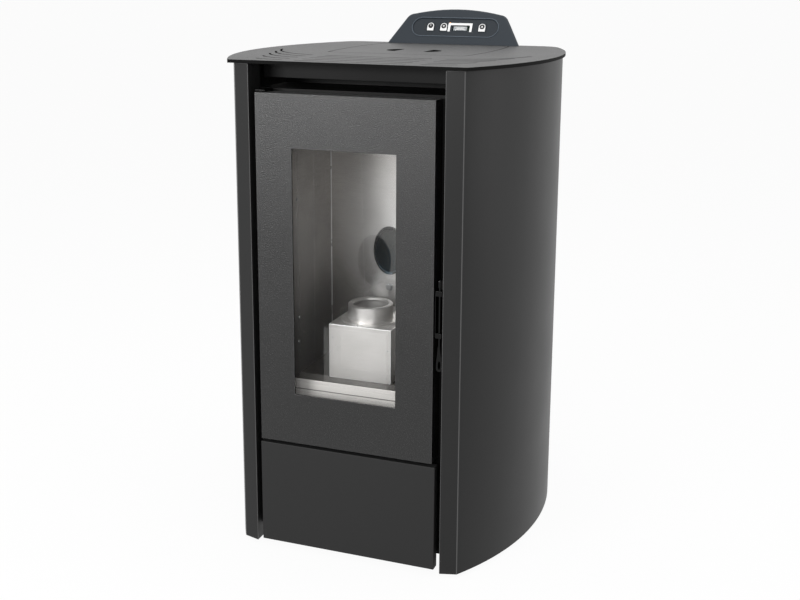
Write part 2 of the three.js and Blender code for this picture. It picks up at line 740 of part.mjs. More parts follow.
// ---------------------------------------------------------------- smoke path
const fanX0 = smokeX1 + gap;
const fanX1 = fanX0 + 54;
const fanOutlet = rear - 43.5;
const fanY = fanOutlet - 80;
const fanZ = 118;
const fanRadius = 46;
const fanEye = 26;
const smokeDuctDepth = 22;
const smokeDuctBottom = 84;
{
  const y0 = chamberBack + fireSheet + gap;
  const wall = 1.5;
  const width = smokeX1 - smokeX0;
  const form = (inset, from, across) => {
    const outline = new THREE.Shape();
    outline.moveTo(y0 + inset, smokeTop - inset);
    outline.lineTo(y0 + inset, smokeDuctBottom + inset);
    outline.lineTo(fanY + 42 - inset, smokeDuctBottom + inset);
    outline.lineTo(fanY + 42 - inset, fanZ + 34 - inset);
    outline.lineTo(y0 + smokeDuctDepth - inset, fanZ + 34 - inset);
    outline.lineTo(y0 + smokeDuctDepth - inset, smokeTop - inset);
    outline.closePath();
    return sideways(outline, from, across);
  };
  const mouth = block(smokeX0 + 4, smokeX1 - 4, y0 - 2, y0 + 4, smokeSlotBottom, smokeTop - 4);
  const eye = alongX(rod(fanEye, 0, 12, 28)).translate(smokeX1 - 6, fanY, fanZ);
  // a folded channel, closed by a side plate that comes off for sweeping
  const channel = cut(form(0, smokeX0, width), form(wall, smokeX0 - 1, width + 1 - wall), mouth, eye);
  add('smoke_duct', channel, zincSteel);
  add('smoke_duct_side_plate', form(wall + gap, smokeX0, wall), zincSteel);
}
// The fan case: a spiral seen from the side, with its outlet to the rear at the top.
function spiral(shrink) {
  const outline = new THREE.Shape();
  const steps = 30;
  const first = fanRadius + 6 - shrink;
  const last = fanRadius + 34 - shrink;
  const outletEnd = fanOutlet;
  for (let i = 0; i <= steps; i += 1) {
    // from under the outlet round the front to the top
    const share = i / steps;
    const angle = -0.05 * Math.PI - 1.45 * Math.PI * share;
    const radius = first + (last - first) * share;
    const y = fanY + radius * Math.cos(angle);
    const z = fanZ + radius * Math.sin(angle);
    if (i === 0) outline.moveTo(y, z);
    else outline.lineTo(y, z);
  }
  outline.lineTo(outletEnd, fanZ + last);
  outline.lineTo(outletEnd, fanZ - 4 + shrink);
  outline.closePath();
  return outline;
}
{
  const wall = 2;
  const body = sideways(spiral(0), fanX0, fanX1 - fanX0);
  const hollow = sideways(spiral(wall), fanX0 + wall, fanX1 - fanX0 - 2 * wall);
  const eye = alongX(rod(fanEye, -6, 6, 28)).translate(fanX0, fanY, fanZ);
  const shaftHole = alongX(rod(5, -6, 6, 16)).translate(fanX1, fanY, fanZ);
  const outlet = alongY(rod(fanEye, -6, 6, 28)).translate((fanX0 + fanX1) / 2, fanOutlet, fanZ + 38);
  add('exhaust_fan_case', cut(body, hollow, eye, shaftHole, outlet), zincSteel);
}
function bladedWheel(radius, hub, width, count, blade, backplate) {
  const parts = [rod(radius, 0, backplate, 32), rod(hub, 0, width, 16)];
  for (let i = 0; i < count; i += 1) {
    const vane = block(hub - 1, radius, -blade / 2, blade / 2, backplate / 2, width);
    parts.push(vane.rotateZ((2 * Math.PI * i) / count));
  }
  return join(...parts);
}
{
  const wheel = join(
    bladedWheel(fanRadius - 2, 10, 26, 8, 2, 2),
    rod(4, -(14 + gap + 12), 4, 16),
  );
  // backplate towards the motor
  const placed = wheel.rotateY(-Math.PI / 2).translate(fanX1 - 14, fanY, fanZ);
  add('exhaust_fan_wheel', placed, zincSteel);
  const motorBody = cut(
    turned([[0, 0], [34, 0], [34, 6], [26, 8], [26, 46], [22, 50], [0, 50]], 28),
    rod(4 + gap, -1, 16, 16),
  );
  add('exhaust_fan_motor', alongX(motorBody).translate(fanX1 + gap, fanY, fanZ), darkSteel);
}
{
  const y0 = fanOutlet + gap;
  const spigotX = flueX;
  const end = rear + flueReach;
  const tube = turned([
    [flueRadius - flueWall, 0], [flueRadius, 0], [flueRadius, end - y0], [flueRadius - flueWall, end - y0],
    [flueRadius - flueWall, 0],
  ], 40);
  const foot = pipe(flueRadius + 9, fanEye, 0, 2.5, 40);
  add('flue_spigot', alongY(join(tube, foot)).translate(spigotX, y0, flueHeight), zincSteel);
}

// ---------------------------------------------------------------- room-air fan
const blowerX0 = -132;
const blowerX1 = -16;
const blowerY = fromFront(262);
const blowerZ = 96;
const blowerRadius = 46;
{
  const wall = 1.5;
  const floorZ = frameBottom;
  const form = (shrink, x0, x1) => {
    const outline = new THREE.Shape();
    const r = blowerRadius + 14 - shrink;
    outline.moveTo(blowerY - r, floorZ + shrink);
    outline.lineTo(blowerY + r * 0.55, floorZ + shrink);
    outline.quadraticCurveTo(blowerY + r, floorZ + shrink, blowerY + r, blowerZ);
    outline.quadraticCurveTo(blowerY + r, blowerZ + r, blowerY + 8 - shrink, blowerZ + r);
    outline.lineTo(blowerY + 8 - shrink, 200 + (shrink > 0 ? 5 : 0));
    outline.lineTo(blowerY - r, 200 + (shrink > 0 ? 5 : 0));
    outline.closePath();
    return sideways(outline, x0, x1 - x0, 8);
  };
  const eye = alongX(rod(34, -8, 8, 28)).translate(blowerX0, blowerY, blowerZ);
  const shaftHole = alongX(rod(6, -8, 8, 16)).translate(blowerX1, blowerY, blowerZ);
  add('room_fan_case', cut(form(0, blowerX0, blowerX1), form(wall, blowerX0 + wall, blowerX1 - wall), eye,
    shaftHole), zincSteel);
  const drum = join(
    rod(blowerRadius, 0, 3, 32),
    pipe(blowerRadius, blowerRadius - 9, 93, 96, 32),
    rod(4, -28, 40, 16),
    ...Array.from({ length: 18 }, (_, i) => block(blowerRadius - 8, blowerRadius - 0.5, -0.9, 0.9, 1, 95)
      .rotateZ((2 * Math.PI * i) / 18)),
  );
  add('room_fan_drum', drum.rotateY(-Math.PI / 2).translate(blowerX1 - 9, blowerY, blowerZ), darkSteel);
  const motorBody = cut(
    turned([[0, 0], [30, 0], [30, 5], [26, 7], [26, 42], [22, 46], [0, 46]], 28),
    rod(4 + gap, -1, 20, 16),
  );
  add('room_fan_motor', alongX(motorBody).translate(blowerX1 + gap, blowerY, blowerZ), darkSteel);
}

// ---------------------------------------------------------------- rear panel and what passes through it
const rearSheet = 1.5;
const rearPanelFront = rear - casingSheet - gap - rearSheet;
const rearHalf = widthAt(casingCircle, rearPanelFront, casingSheet) - 1;
const inletX = -132;
const inletZ = 62;
const inletWidth = 28;
const inletHeight = 48;
{
  const y0 = rearPanelFront - 1;
  const y1 = rearPanelFront + rearSheet + 1;
  const holes = [
    alongY(rod(flueRadius + gap, 0, y1 - y0, 40)).translate(flueX, y0, flueHeight),
    alongY(rod(intakeRadius + gap, 0, y1 - y0, 32)).translate(intakeX, y0, intakeHeight),
    block(inletX - inletWidth / 2, inletX + inletWidth / 2, y0, y1, inletZ - inletHeight / 2,
      inletZ + inletHeight / 2),
  ];
  for (const x of [-80, 0, 80]) {
    for (let row = 0; row < 7; row += 1) {
      const z = casingHeight - 205 + row * 22;
      holes.push(block(x - 30, x + 30, y0, y1, z, z + 5));
    }
  }
  for (let row = 0; row < 4; row += 1) {
    const z = 70 + row * 20;
    holes.push(block(-50, 30, y0, y1, z, z + 5));
  }
  const sheet = block(-rearHalf, rearHalf, rearPanelFront, rearPanelFront + rearSheet, frameBottom, casingHeight - 2);
  add('rear_panel', cut(sheet, ...holes), satinBlack);
}
{
  const y0 = fromFront(330);
  add('air_intake_pipe', alongY(pipe(intakeRadius, intakeRadius - 1.5, 0, rear + intakeReach - y0, 32))
    .translate(intakeX, y0, intakeHeight), zincSteel);
}
const rockerZ = inletZ + 13;
const rockerAxisY = rear - casingSheet + 1.5;
{
  const y0 = rear - casingSheet + gap - gap;
  const w = inletWidth / 2;
  const h = inletHeight / 2;
  const flange = block(inletX - w - 4, inletX + w + 4, y0, y0 + 2, inletZ - h - 4, inletZ + h + 4);
  const bodyBlock = block(inletX - w + gap, inletX + w - gap, y0 - 26, y0 + 1, inletZ - h + gap,
    inletZ + h - gap);
  const socket = block(inletX - 11, inletX + 11, y0 - 16, y0 + 4, inletZ - 20, inletZ - 2);
  const rockerWell = block(inletX - 10.5, inletX + 10.5, y0 - 9, y0 + 4, rockerZ - 8.5, rockerZ + 8.5);
  const blades = [-6, 0, 6].map((dx) => block(inletX + dx - 1, inletX + dx + 1, y0 - 17, y0 - 4,
    inletZ - 13 + (dx === 0 ? 3 : -2), inletZ - 9 + (dx === 0 ? 3 : -2)));
  add('power_inlet', join(cut(join(flange, bodyBlock), socket, rockerWell), ...blades), rubber);
  const rocker = new THREE.Shape();
  rocker.moveTo(-6, -7.2);
  rocker.lineTo(2.2, -7.6);
  rocker.lineTo(0.6, 0);
  rocker.lineTo(2.2, 7.6);
  rocker.lineTo(-6, 7.2);
  rocker.closePath();
  add('mains_rocker', sideways(rocker, -10, 20).rotateX(0.12).translate(inletX, rockerAxisY, rockerZ), rubber);
}

// ---------------------------------------------------------------- control console
const consoleFoot = plateRear - consoleInset;
const consoleGroup = new THREE.Group();
consoleGroup.position.set(consoleX, consoleFoot, plateTop + gap);
consoleGroup.rotation.x = -consoleLean;
stove.add(consoleGroup);
// Inside this group Z runs up the leaning face and Y into the console.
function consoleFace() {
  const b = consoleBase / 2;
  const t = consoleTop / 2;
  const low = -30;
  const slope = (b - t) / consoleSide;
  const outline = new THREE.Shape();
  outline.moveTo(-b + slope * low, low);
  outline.lineTo(b - slope * low, low);
  outline.lineTo(t + slope * 9, consoleSide - 9);
  outline.quadraticCurveTo(t, consoleSide, t - 9, consoleSide + 1);
  outline.quadraticCurveTo(0, consoleSide + consoleArch * 2 - 1, -t + 9, consoleSide + 1);
  outline.quadraticCurveTo(-t, consoleSide, -t - slope * 9, consoleSide - 9);
  outline.closePath();
  return outline;
}
function stadium(width, height, Kind = THREE.Shape) {
  const r = height / 2;
  const x = width / 2 - r;
  const outline = new Kind();
  outline.absarc(x, 0, r, -Math.PI / 2, Math.PI / 2, false);
  outline.absarc(-x, 0, r, Math.PI / 2, (3 * Math.PI) / 2, false);
  outline.closePath();
  return outline;
}
const bezelZ = 34;
const floorBlock = block(-200, 200, -200, 200, -200, 0).rotateX(consoleLean);
{
  const edge = 3;
  const body = new THREE.ExtrudeGeometry(consoleFace(), {
    depth: consoleThickness - 2 * edge, bevelEnabled: true, bevelSize: edge, bevelOffset: -edge,
    bevelThickness: edge, bevelSegments: 3, curveSegments: 12,
  }).rotateX(Math.PI / 2).translate(0, consoleThickness - edge, 0);
  const pocket = upright(stadium(bezelWidth, bezelHeight), -1, bezelDepth + 1, 10).translate(0, 0, bezelZ);
  const hollow = upright(stadium(bezelWidth - 12, bezelHeight - 8), 0, 16, 8).translate(0, 0, bezelZ);
  const wireWay = block(-20, 20, 8, 16, -30, bezelZ - 5);
  add('console_housing', cut(body, floorBlock, pocket, hollow, wireWay), consolePlastic, consoleGroup);
}
const keyPositions = { power: -46, down: -21, up: 51 };
const displayX = 13;
const displayWidth = 46;
const displayHeight = 18;
{
  const strip = upright(stadium(bezelWidth - 2 * gap, bezelHeight - 2 * gap), bezelDepth - 2.2, 2.2 - gap, 10)
    .translate(0, 0, bezelZ);
  const half = keySize / 2 + gap;
  const holes = Object.values(keyPositions).map((x) => block(x - half, x + half, -1, 9, bezelZ - half, bezelZ + half));
  const display = block(displayX - displayWidth / 2 + 5, displayX + displayWidth / 2 - 5, -1, 9,
    bezelZ - displayHeight / 2 + 3, bezelZ + displayHeight / 2 - 4);
  add('console_bezel', cut(strip, ...holes, display), bezelPlastic, consoleGroup);
}
{
  const lens = block(displayX - displayWidth / 2 + 5 + gap, displayX + displayWidth / 2 - 5 - gap, 1, 2.2,
    bezelZ - displayHeight / 2 + 3 + gap, bezelZ + displayHeight / 2 - 4 - gap);
  add('display_lens', lens, glass, consoleGroup);
}
const boardFront = bezelDepth + 4;
add('control_board', block(-bezelWidth / 2 + 20, bezelWidth / 2 - 20, boardFront, boardFront + 1.6, bezelZ - 12,
  bezelZ + 12), finish(0x1f5a34, 0.6, 0.0), consoleGroup);
for (const [name, x] of Object.entries(keyPositions)) {
  const half = keySize / 2;
  const cap = block(x - half, x + half, -0.8, 3, bezelZ - half, bezelZ + half);
  const stem = block(x - 3, x + 3, 2, boardFront - gap - keyTravel, bezelZ - 3, bezelZ + 3);
  add(`key_${name}`, join(cap, stem), keyPlastic, consoleGroup);
}

// ---------------------------------------------------------------- door
const doorBack = fromFront(doorDepth);
const doorPinX = doorLeft + doorPinInset;
const doorPinY = fromFront(doorPinDepth);
{
  const pan = cut(
    block(doorLeft, doorRight, front, doorBack, doorBottom, doorTop),
    block(doorLeft + doorSheet, doorRight - doorSheet, front + doorSheet, doorBack + 1, doorBottom + doorSheet,
      doorTop - doorSheet),
    block(windowLeft, windowRight, front - 1, front + 5, windowBottom, windowTop),
    rod(doorPinRadius + 0.4, doorBottom - 5, doorTop + 5, 20).translate(doorPinX, doorPinY, 0),
  );
  add('door_face', pan, texturedBlack);
}
const glassFront = front + doorSheet + 1.2;
{
  const lap = glassLap;
  const ring = rectangle(windowLeft - lap, windowRight + lap, windowBottom - lap, windowTop + lap);
  ring.holes.push(rectangle(windowLeft - 4, windowRight + 4, windowBottom - 4, windowTop + 4, THREE.Path));
  add('glass_gasket', upright(ring, front + doorSheet + gap / 2, 1.2 - gap), rope);
  add('door_glass', block(windowLeft - lap, windowRight + lap, glassFront, glassFront + glassThickness,
    windowBottom - lap, windowTop + lap), glass);
  const retainerY = glassFront + glassThickness + gap;
  const outer = lap + 10;
  const frame = rectangle(windowLeft - outer, windowRight + outer, windowBottom - outer, windowTop + outer);
  frame.holes.push(rectangle(windowLeft - 3, windowRight + 3, windowBottom - 3, windowTop + 3, THREE.Path));
  const foot = (x) => block(x, x + 7, front + doorSheet + gap, retainerY + 2, windowBottom, windowTop);
  add('glass_retainer', join(upright(frame, retainerY, 2), foot(windowLeft - outer), foot(windowRight + outer - 7)),
    zincSteel);
}
const innerFrameY = doorBack - doorSheet;
{
  const inset = doorSheet + gap;
  const ring = rectangle(doorLeft + inset, doorRight - inset, doorBottom + inset, doorTop - inset);
  ring.holes.push(rectangle(windowLeft - 17, windowRight + 17, windowBottom - 17, windowTop + 12, THREE.Path));
  add('door_inner_frame', upright(ring, innerFrameY, doorSheet), darkSteel);
}
{
  const outer = gasketInset;
  const width = gasketSize;
  const x0 = doorLeft + outer + 6;
  const x1 = doorRight - outer;
  const ring = rectangle(x0, x1, doorBottom + outer, doorTop - outer);
  ring.holes.push(rectangle(x0 + width * 1.6, x1 - width * 1.6, doorBottom + outer + width * 1.6,
    doorTop - outer - width * 1.6, THREE.Path));
  add('door_gasket', upright(ring, doorBack + gap, frameDepth - doorDepth - 2 * gap), rope);
}
{
  const armThickness = 2.5;
  const reach = 8;
  const arms = [['top', doorTop + 1.2, 1], ['bottom', doorBottom - 1.2 - armThickness, -1]];
  for (const [name, z, up] of arms) {
    const arm = block(doorPinX - reach, doorPinX + reach, doorPinY - 5, fromFront(frameDepth) - gap, z,
      z + armThickness);
    const backY = fromFront(frameDepth) - gap;
    const tongueZ0 = up > 0 ? z - 22 : z;
    const tongueZ1 = up > 0 ? z + armThickness : z + armThickness + 22;
    const tongue = block(doorPinX - reach, doorPinX + reach, backY - 2, backY, tongueZ0, tongueZ1);
    const z0 = up > 0 ? doorTop - 14 : z;
    const z1 = up > 0 ? z + armThickness : doorBottom + 14;
    const pin = rod(doorPinRadius, z0, z1, 20).translate(doorPinX, doorPinY, 0);
    add(`door_hinge_bracket_${name}`, join(arm, tongue, pin), darkSteel);
  }
}

// ---------------------------------------------------------------- door handle
const rodX = 146.8;
const rodY = fromFront(9);
const rodRadius = 2.6;
const doorMiddle = (doorBottom + doorTop) / 2;
const rodBottom = doorMiddle - 90.5;
const rodTop = doorMiddle + 12.5;
const catchBottom = doorMiddle + 1.5;
const catchTop = catchBottom + 8;
const lugHeight = 8;
{
  const tab = block(0, 4.8, -1.5, 1.5, catchBottom, catchTop).rotateZ(0.42);
  const spindle = turned([
    [0, rodBottom], [rodRadius, rodBottom], [rodRadius, catchBottom - 2], [4.2, catchBottom], [4.2, catchTop],
    [rodRadius, rodTop - 1], [1.2, rodTop], [0, rodTop],
  ], 16);
  const lugZ = [rodBottom + 14, catchBottom - 6 - lugHeight];
  const lugs = lugZ.map((z) => cut(
    block(doorRight + gap, rodX + 4.6, rodY - 4.6, rodY + 4.6, z, z + lugHeight),
    rod(rodRadius + 0.3, z - 1, z + lugHeight + 1, 16).translate(rodX, rodY, 0),
  ));
  const spine = block(doorRight + gap, doorRight + gap + 1.8, rodY - 4.6, rodY + 4.6, lugZ[0], lugZ[1] + lugHeight);
  add('handle_bracket', join(spine, ...lugs), darkSteel);
  // a drop-shaped loop that hangs from the spindle and turns with it
  const loop = new THREE.Shape();
  loop.moveTo(-2.3, 0);
  loop.bezierCurveTo(-2.6, -12, -4.7, -20, -4.7, -33);
  loop.bezierCurveTo(-4.7, -41, 4.7, -41, 4.7, -33);
  loop.bezierCurveTo(4.7, -20, 2.6, -12, 2.3, 0);
  loop.closePath();
  const opening = upright(ellipse(0, -29, 2, 6.5), -3, 6, 16);
  const grip = cut(upright(loop, -1.8, 3.6, 8), opening).rotateZ(0.35).translate(0, 0, rodBottom + 1);
  add('door_handle', join(spindle, tab, grip).translate(rodX, rodY, 0), darkSteel);
  const strip = block(openingHalf - gap - 1.5, openingHalf - gap, rodY - 2, rodY + 14,
    catchBottom - 50, catchTop + 8);
  const lip = block(150.6, openingHalf - gap, rodY - 4.8, rodY - 2, catchBottom - 3, catchTop + 3);
  const bridge = block(openingHalf - gap - 1.5, openingHalf - gap, rodY - 4.8, rodY, catchBottom - 3, catchTop + 3);
  add('latch_keeper', join(strip, lip, bridge), darkSteel);
}

// ---------------------------------------------------------------- lower front panel
{
  const half = lowerPanelWidth / 2;
  const sheet = 2;
  const pan = cut(
    block(-half, half, front, fromFront(lowerPanelDepth), lowerPanelBottom, lowerPanelTop),
    block(-half + sheet, half - sheet, front + sheet, fromFront(lowerPanelDepth) + 1, lowerPanelBottom + sheet,
      lowerPanelTop - sheet),
  );
  // four clips reach back to the front frame and hold the cover by friction
  const clips = [];
  for (const x of [-half + 12, half - 12]) {
    for (const z of [lowerPanelBottom + 18, lowerPanelTop - 14]) {
      clips.push(block(x - 6, x + 6, front + sheet / 2, fromFront(frameDepth) - gap, z - 5, z + 5));
    }
  }
  add('lower_panel', join(pan, ...clips), satinBlack);
}

// ---------------------------------------------------------------- origin in the middle of the footprint
const frontmost = front - plateOverhang;
const rearmost = rear + flueReach;
stove.position.set(0, -(frontmost + rearmost) / 2, floorGap);
stove.updateMatrixWorld(true);

export default stove;
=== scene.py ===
"""A pellet stove dressed for the studio.

The sheets get rounded edges, paint and heated steel, the console its keys, the studio its lights.
"""

from __future__ import annotations

import json
import logging
import math
from dataclasses import dataclass, field
from enum import Enum
from typing import Callable, Union

import bmesh
import bpy
from mathutils import Matrix, Vector

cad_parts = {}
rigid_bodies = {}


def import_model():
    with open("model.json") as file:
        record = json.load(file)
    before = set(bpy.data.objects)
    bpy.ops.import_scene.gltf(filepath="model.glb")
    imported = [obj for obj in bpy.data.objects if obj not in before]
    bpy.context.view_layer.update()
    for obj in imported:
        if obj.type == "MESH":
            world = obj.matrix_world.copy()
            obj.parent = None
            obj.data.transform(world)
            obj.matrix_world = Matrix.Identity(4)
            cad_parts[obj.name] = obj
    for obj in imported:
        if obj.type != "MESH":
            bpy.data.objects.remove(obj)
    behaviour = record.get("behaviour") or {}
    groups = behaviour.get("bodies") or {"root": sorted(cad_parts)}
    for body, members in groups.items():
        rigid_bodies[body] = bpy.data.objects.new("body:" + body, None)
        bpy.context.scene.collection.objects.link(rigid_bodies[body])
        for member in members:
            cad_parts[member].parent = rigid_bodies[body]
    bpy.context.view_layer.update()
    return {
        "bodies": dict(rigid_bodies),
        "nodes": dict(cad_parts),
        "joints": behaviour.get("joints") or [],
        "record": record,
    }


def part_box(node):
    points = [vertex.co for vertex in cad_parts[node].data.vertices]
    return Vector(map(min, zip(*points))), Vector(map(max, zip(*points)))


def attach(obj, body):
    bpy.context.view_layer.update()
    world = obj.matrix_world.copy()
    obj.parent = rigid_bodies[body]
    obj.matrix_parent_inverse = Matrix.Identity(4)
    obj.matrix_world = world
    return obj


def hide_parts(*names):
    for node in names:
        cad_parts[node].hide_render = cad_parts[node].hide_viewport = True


LOG = logging.getLogger("pellet_stove")
MM = 0.001
Colour = tuple[float, float, float]
Socket = bpy.types.NodeSocket
Input = Union[Socket, float]
Marker = Callable[[bmesh.types.BMesh], None]
Place = Callable[[float, float, float], Vector]
Outline = list[tuple[float, float]]


def grey(level: int, warmth: float = 0.0) -> Colour:
    """Turns a display level into a linear grey.

    Args:
        level: The level as displayed, 0 to 255.
        warmth: Shift towards red (positive) or blue (negative), as a share of the level.

    Returns:
        The linear colour.
    """
    return tuple((max(level * (1 + shift), 0) / 255) ** 2.2 for shift in (warmth, 0.0, -warmth))


class Body(Enum):
    """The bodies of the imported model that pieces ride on."""

    CASING = "casing"
    DOOR = "door"
    HANDLE = "handle"
    LID = "lid"
    BURN_POT = "burn_pot"
    LOWER_PANEL = "lower_panel"
    KEY_POWER = "key_power"
    KEY_DOWN = "key_down"
    KEY_UP = "key_up"
    AUGER = "auger"
    EXHAUST_FAN = "exhaust_fan"
    ROOM_FAN = "room_fan"
    ROCKER = "rocker"


class Symbol(Enum):
    """What is printed on a key."""

    POWER = "power"
    DOWN = "down"
    UP = "up"


# ------------------------------------------------------------------ shared shader effects

SURFACE_OUTPUTS = [
    ("Color", "NodeSocketColor"),
    ("Roughness", "NodeSocketFloat"),
    ("Height", "NodeSocketFloat"),
]


class GroupMaker:
    """Builds one shader node group with named sockets."""

    def __init__(
        self,
        name: str,
        inputs: list[tuple[str, str, object]],
        outputs: list[tuple[str, str]],
    ) -> None:
        """Starts the group.

        Args:
            name: The group's name.
            inputs: Name, socket type and default value of each input.
            outputs: Name and socket type of each output.
        """
        self.tree = bpy.data.node_groups.new(name, "ShaderNodeTree")
        face = self.tree.interface
        for title, kind, default in inputs:
            socket = face.new_socket(name=title, in_out="INPUT", socket_type=kind)
            socket.default_value = default
        for title, kind in outputs:
            face.new_socket(name=title, in_out="OUTPUT", socket_type=kind)
        self.source = self.tree.nodes.new("NodeGroupInput")
        self.result = self.tree.nodes.new("NodeGroupOutput")

    def node(self, kind: str, **settings: object) -> bpy.types.Node:
        """Adds a node and sets its properties.

        Args:
            kind: The node's type name.
            **settings: Properties of the node.

        Returns:
            The node.
        """
        made = self.tree.nodes.new(kind)
        for key, value in settings.items():
            setattr(made, key, value)
        return made

    def link(self, start: Socket, end: Socket) -> None:
        """Joins two sockets."""
        self.tree.links.new(start, end)

    def feed(self, value: Input, slot: Socket) -> None:
        """Gives an input its value.

        Args:
            value: A socket to link, or a number to set.
            slot: The input.
        """
        if isinstance(value, Socket):
            self.link(value, slot)
        else:
            slot.default_value = value

    def maths(self, operation: str, first: Input, second: Input = 0.0) -> Socket:
        """Adds a Math node fed by sockets or numbers.

        Args:
            operation: The node's operation.
            first: A socket or a number.
            second: A socket or a number.

        Returns:
            The node's output.
        """
        made = self.node("ShaderNodeMath", operation=operation)
        for slot, value in zip(made.inputs, (first, second)):
            self.feed(value, slot)
        return made.outputs[0]

    def noise(
        self,
        scale: Input,
        detail: float,
        roughness: float = 0.5,
        stretch: Socket | None = None,
    ) -> Socket:
        """Adds a noise in the object's own coordinates.

        Args:
            scale: The noise scale, a socket or a number.
            detail: Noise detail.
            roughness: Noise roughness.
            stretch: A vector socket that scales the coordinates first, or None.

        Returns:
            The noise value.
        """
        place = self.node("ShaderNodeTexCoord").outputs["Object"]
        if stretch is not None:
            scaled = self.node("ShaderNodeVectorMath", operation="MULTIPLY")
            self.link(place, scaled.inputs[0])
            self.link(stretch, scaled.inputs[1])
            place = scaled.outputs[0]
        made = self.node("ShaderNodeTexNoise")
        self.link(place, made.inputs["Vector"])
        made.inputs["Detail"].default_value = detail
        made.inputs["Roughness"].default_value = roughness
        self.feed(scale, made.inputs["Scale"])
        return made.outputs["Fac"]

    def mix(self, share: Socket, first: Socket, second: Socket) -> Socket:
        """Mixes two colours.

        Args:
            share: How much of the second colour, 0 to 1.
            first: The first colour.
            second: The second colour.

        Returns:
            The mixed colour.
        """
        made = self.node("ShaderNodeMix", data_type="RGBA", clamp_factor=True)
        self.link(share, made.inputs[0])
        self.link(first, made.inputs[6])
        self.link(second, made.inputs[7])
        return made.outputs[2]

    def spread(self, value: Socket, low: Input, high: Input) -> Socket:
        """Maps a range onto 0 to 1.

        Args:
            value: The value to map.
            low: Where the range starts.
            high: Where it ends.

        Returns:
            The mapped value.
        """
        made = self.node("ShaderNodeMapRange")
        for slot, item in zip(made.inputs, (value, low, high)):
            self.feed(item, slot)
        return made.outputs[0]


def make_grain() -> bpy.types.NodeTree:
    """Fine grain of powder paint or moulded plastic: uneven colour, gloss and height.

    Returns:
        The effect's node tree.
    """
    maker = GroupMaker(
        "surface_grain",
        [
            ("Color", "NodeSocketColor", (0.05, 0.05, 0.05, 1)),
            ("Fleck Color", "NodeSocketColor", (0.1, 0.1, 0.1, 1)),
            ("Grain Scale", "NodeSocketFloat", 600.0),
            ("Fleck", "NodeSocketFloat", 0.4),
            ("Roughness", "NodeSocketFloat", 0.5),
            ("Swing", "NodeSocketFloat", 0.1),
        ],
        SURFACE_OUTPUTS,
    )
    source, result = maker.source.outputs, maker.result.inputs
    fine = maker.noise(source["Grain Scale"], 2.0, 0.6)
    broad = maker.noise(9.0, 2.0)
    fleck = maker.maths("MULTIPLY", maker.spread(fine, 0.5, 0.72), source["Fleck"])
    maker.link(maker.mix(fleck, source["Color"], source["Fleck Color"]), result["Color"])
    swing = maker.maths("MULTIPLY", maker.maths("SUBTRACT", broad, 0.5), source["Swing"])
    maker.link(maker.maths("ADD", source["Roughness"], swing), result["Roughness"])
    maker.link(fine, result["Height"])
    return maker.tree


def make_streaks() -> bpy.types.NodeTree:
    """Brushed or rolled sheet: fine streaks and cloudy patches.

    Returns:
        The effect's node tree.
    """
    maker = GroupMaker(
        "rolled_streaks",
        [
            ("Color", "NodeSocketColor", (0.6, 0.6, 0.6, 1)),
            ("Dark Color", "NodeSocketColor", (0.3, 0.3, 0.3, 1)),
            ("Stretch", "NodeSocketVector", (1.0, 1.0, 0.03)),
            ("Streak", "NodeSocketFloat", 0.4),
            ("Cloud", "NodeSocketFloat", 0.5),
            ("Roughness", "NodeSocketFloat", 0.35),
        ],
        SURFACE_OUTPUTS,
    )
    source, result = maker.source.outputs, maker.result.inputs
    streak = maker.noise(900.0, 3.0, 0.6, source["Stretch"])
    cloud = maker.noise(14.0, 4.0, 0.6)
    share = maker.maths(
        "ADD",
        maker.maths("MULTIPLY", maker.spread(streak, 0.35, 0.75), source["Streak"]),
        maker.maths("MULTIPLY", maker.spread(cloud, 0.35, 0.75), source["Cloud"]),
    )
    maker.link(maker.mix(share, source["Color"], source["Dark Color"]), result["Color"])
    rough = maker.maths("MULTIPLY", maker.maths("SUBTRACT", cloud, 0.5), 0.35)
    maker.link(maker.maths("ADD", source["Roughness"], rough), result["Roughness"])
    maker.link(streak, result["Height"])
    return maker.tree


def make_tint_and_light_halo() -> bpy.types.NodeTree:
    """A round patch on steel: the colour changes with the distance from a centre. The chamber walls
    use it for painted light and painted shade.

    Returns:
        The effect's node tree.
    """
    maker = GroupMaker(
        "tint_and_painted_light_halo",
        [
            ("Color", "NodeSocketColor", (0.6, 0.6, 0.6, 1)),
            ("Halo Color", "NodeSocketColor", (0.9, 0.9, 0.9, 1)),
            ("Centre", "NodeSocketVector", (0.0, 0.0, 0.0)),
            ("Reach", "NodeSocketFloat", 0.06),
            ("Strength", "NodeSocketFloat", 0.7),
        ],
        [("Color", "NodeSocketColor")],
    )
    source, result = maker.source.outputs, maker.result.inputs
    place = maker.node("ShaderNodeTexCoord").outputs["Object"]
    apart = maker.node("ShaderNodeVectorMath", operation="DISTANCE")
    maker.link(place, apart.inputs[0])
    maker.link(source["Centre"], apart.inputs[1])
    wobble = maker.maths("MULTIPLY", maker.maths("SUBTRACT", maker.noise(40.0, 3.0), 0.5), 0.03)
    share = maker.spread(maker.maths("ADD", apart.outputs["Value"], wobble), source["Reach"], 0.0)
    share = maker.maths("MULTIPLY", share, source["Strength"])
    maker.link(maker.mix(share, source["Color"], source["Halo Color"]), result["Color"])
    return maker.tree


@dataclass
class Effects:
    """The shader effects that more than one finish uses."""

    grain: bpy.types.NodeTree = field(default_factory=make_grain)
    streaks: bpy.types.NodeTree = field(default_factory=make_streaks)
    # The round patches: painted light and painted shade on the chamber walls, and the colouring
    # round the liner bolt and in the chute.
    heat: bpy.types.NodeTree = field(default_factory=make_tint_and_light_halo)


# ------------------------------------------------------------------ finishes

GRAIN_DEPTH = 0.3
STREAK_DEPTH = 0.0003
LAMP_GLOSS = 0.4


def start_material(name: str) -> tuple[bpy.types.Material, bpy.types.Node]:
    """Makes an empty node material.

    Args:
        name: The material's name.

    Returns:
        The material and its Principled shader.
    """
    material = bpy.data.materials.new(name)
    material.use_nodes = True
    return material, material.node_tree.nodes["Principled BSDF"]


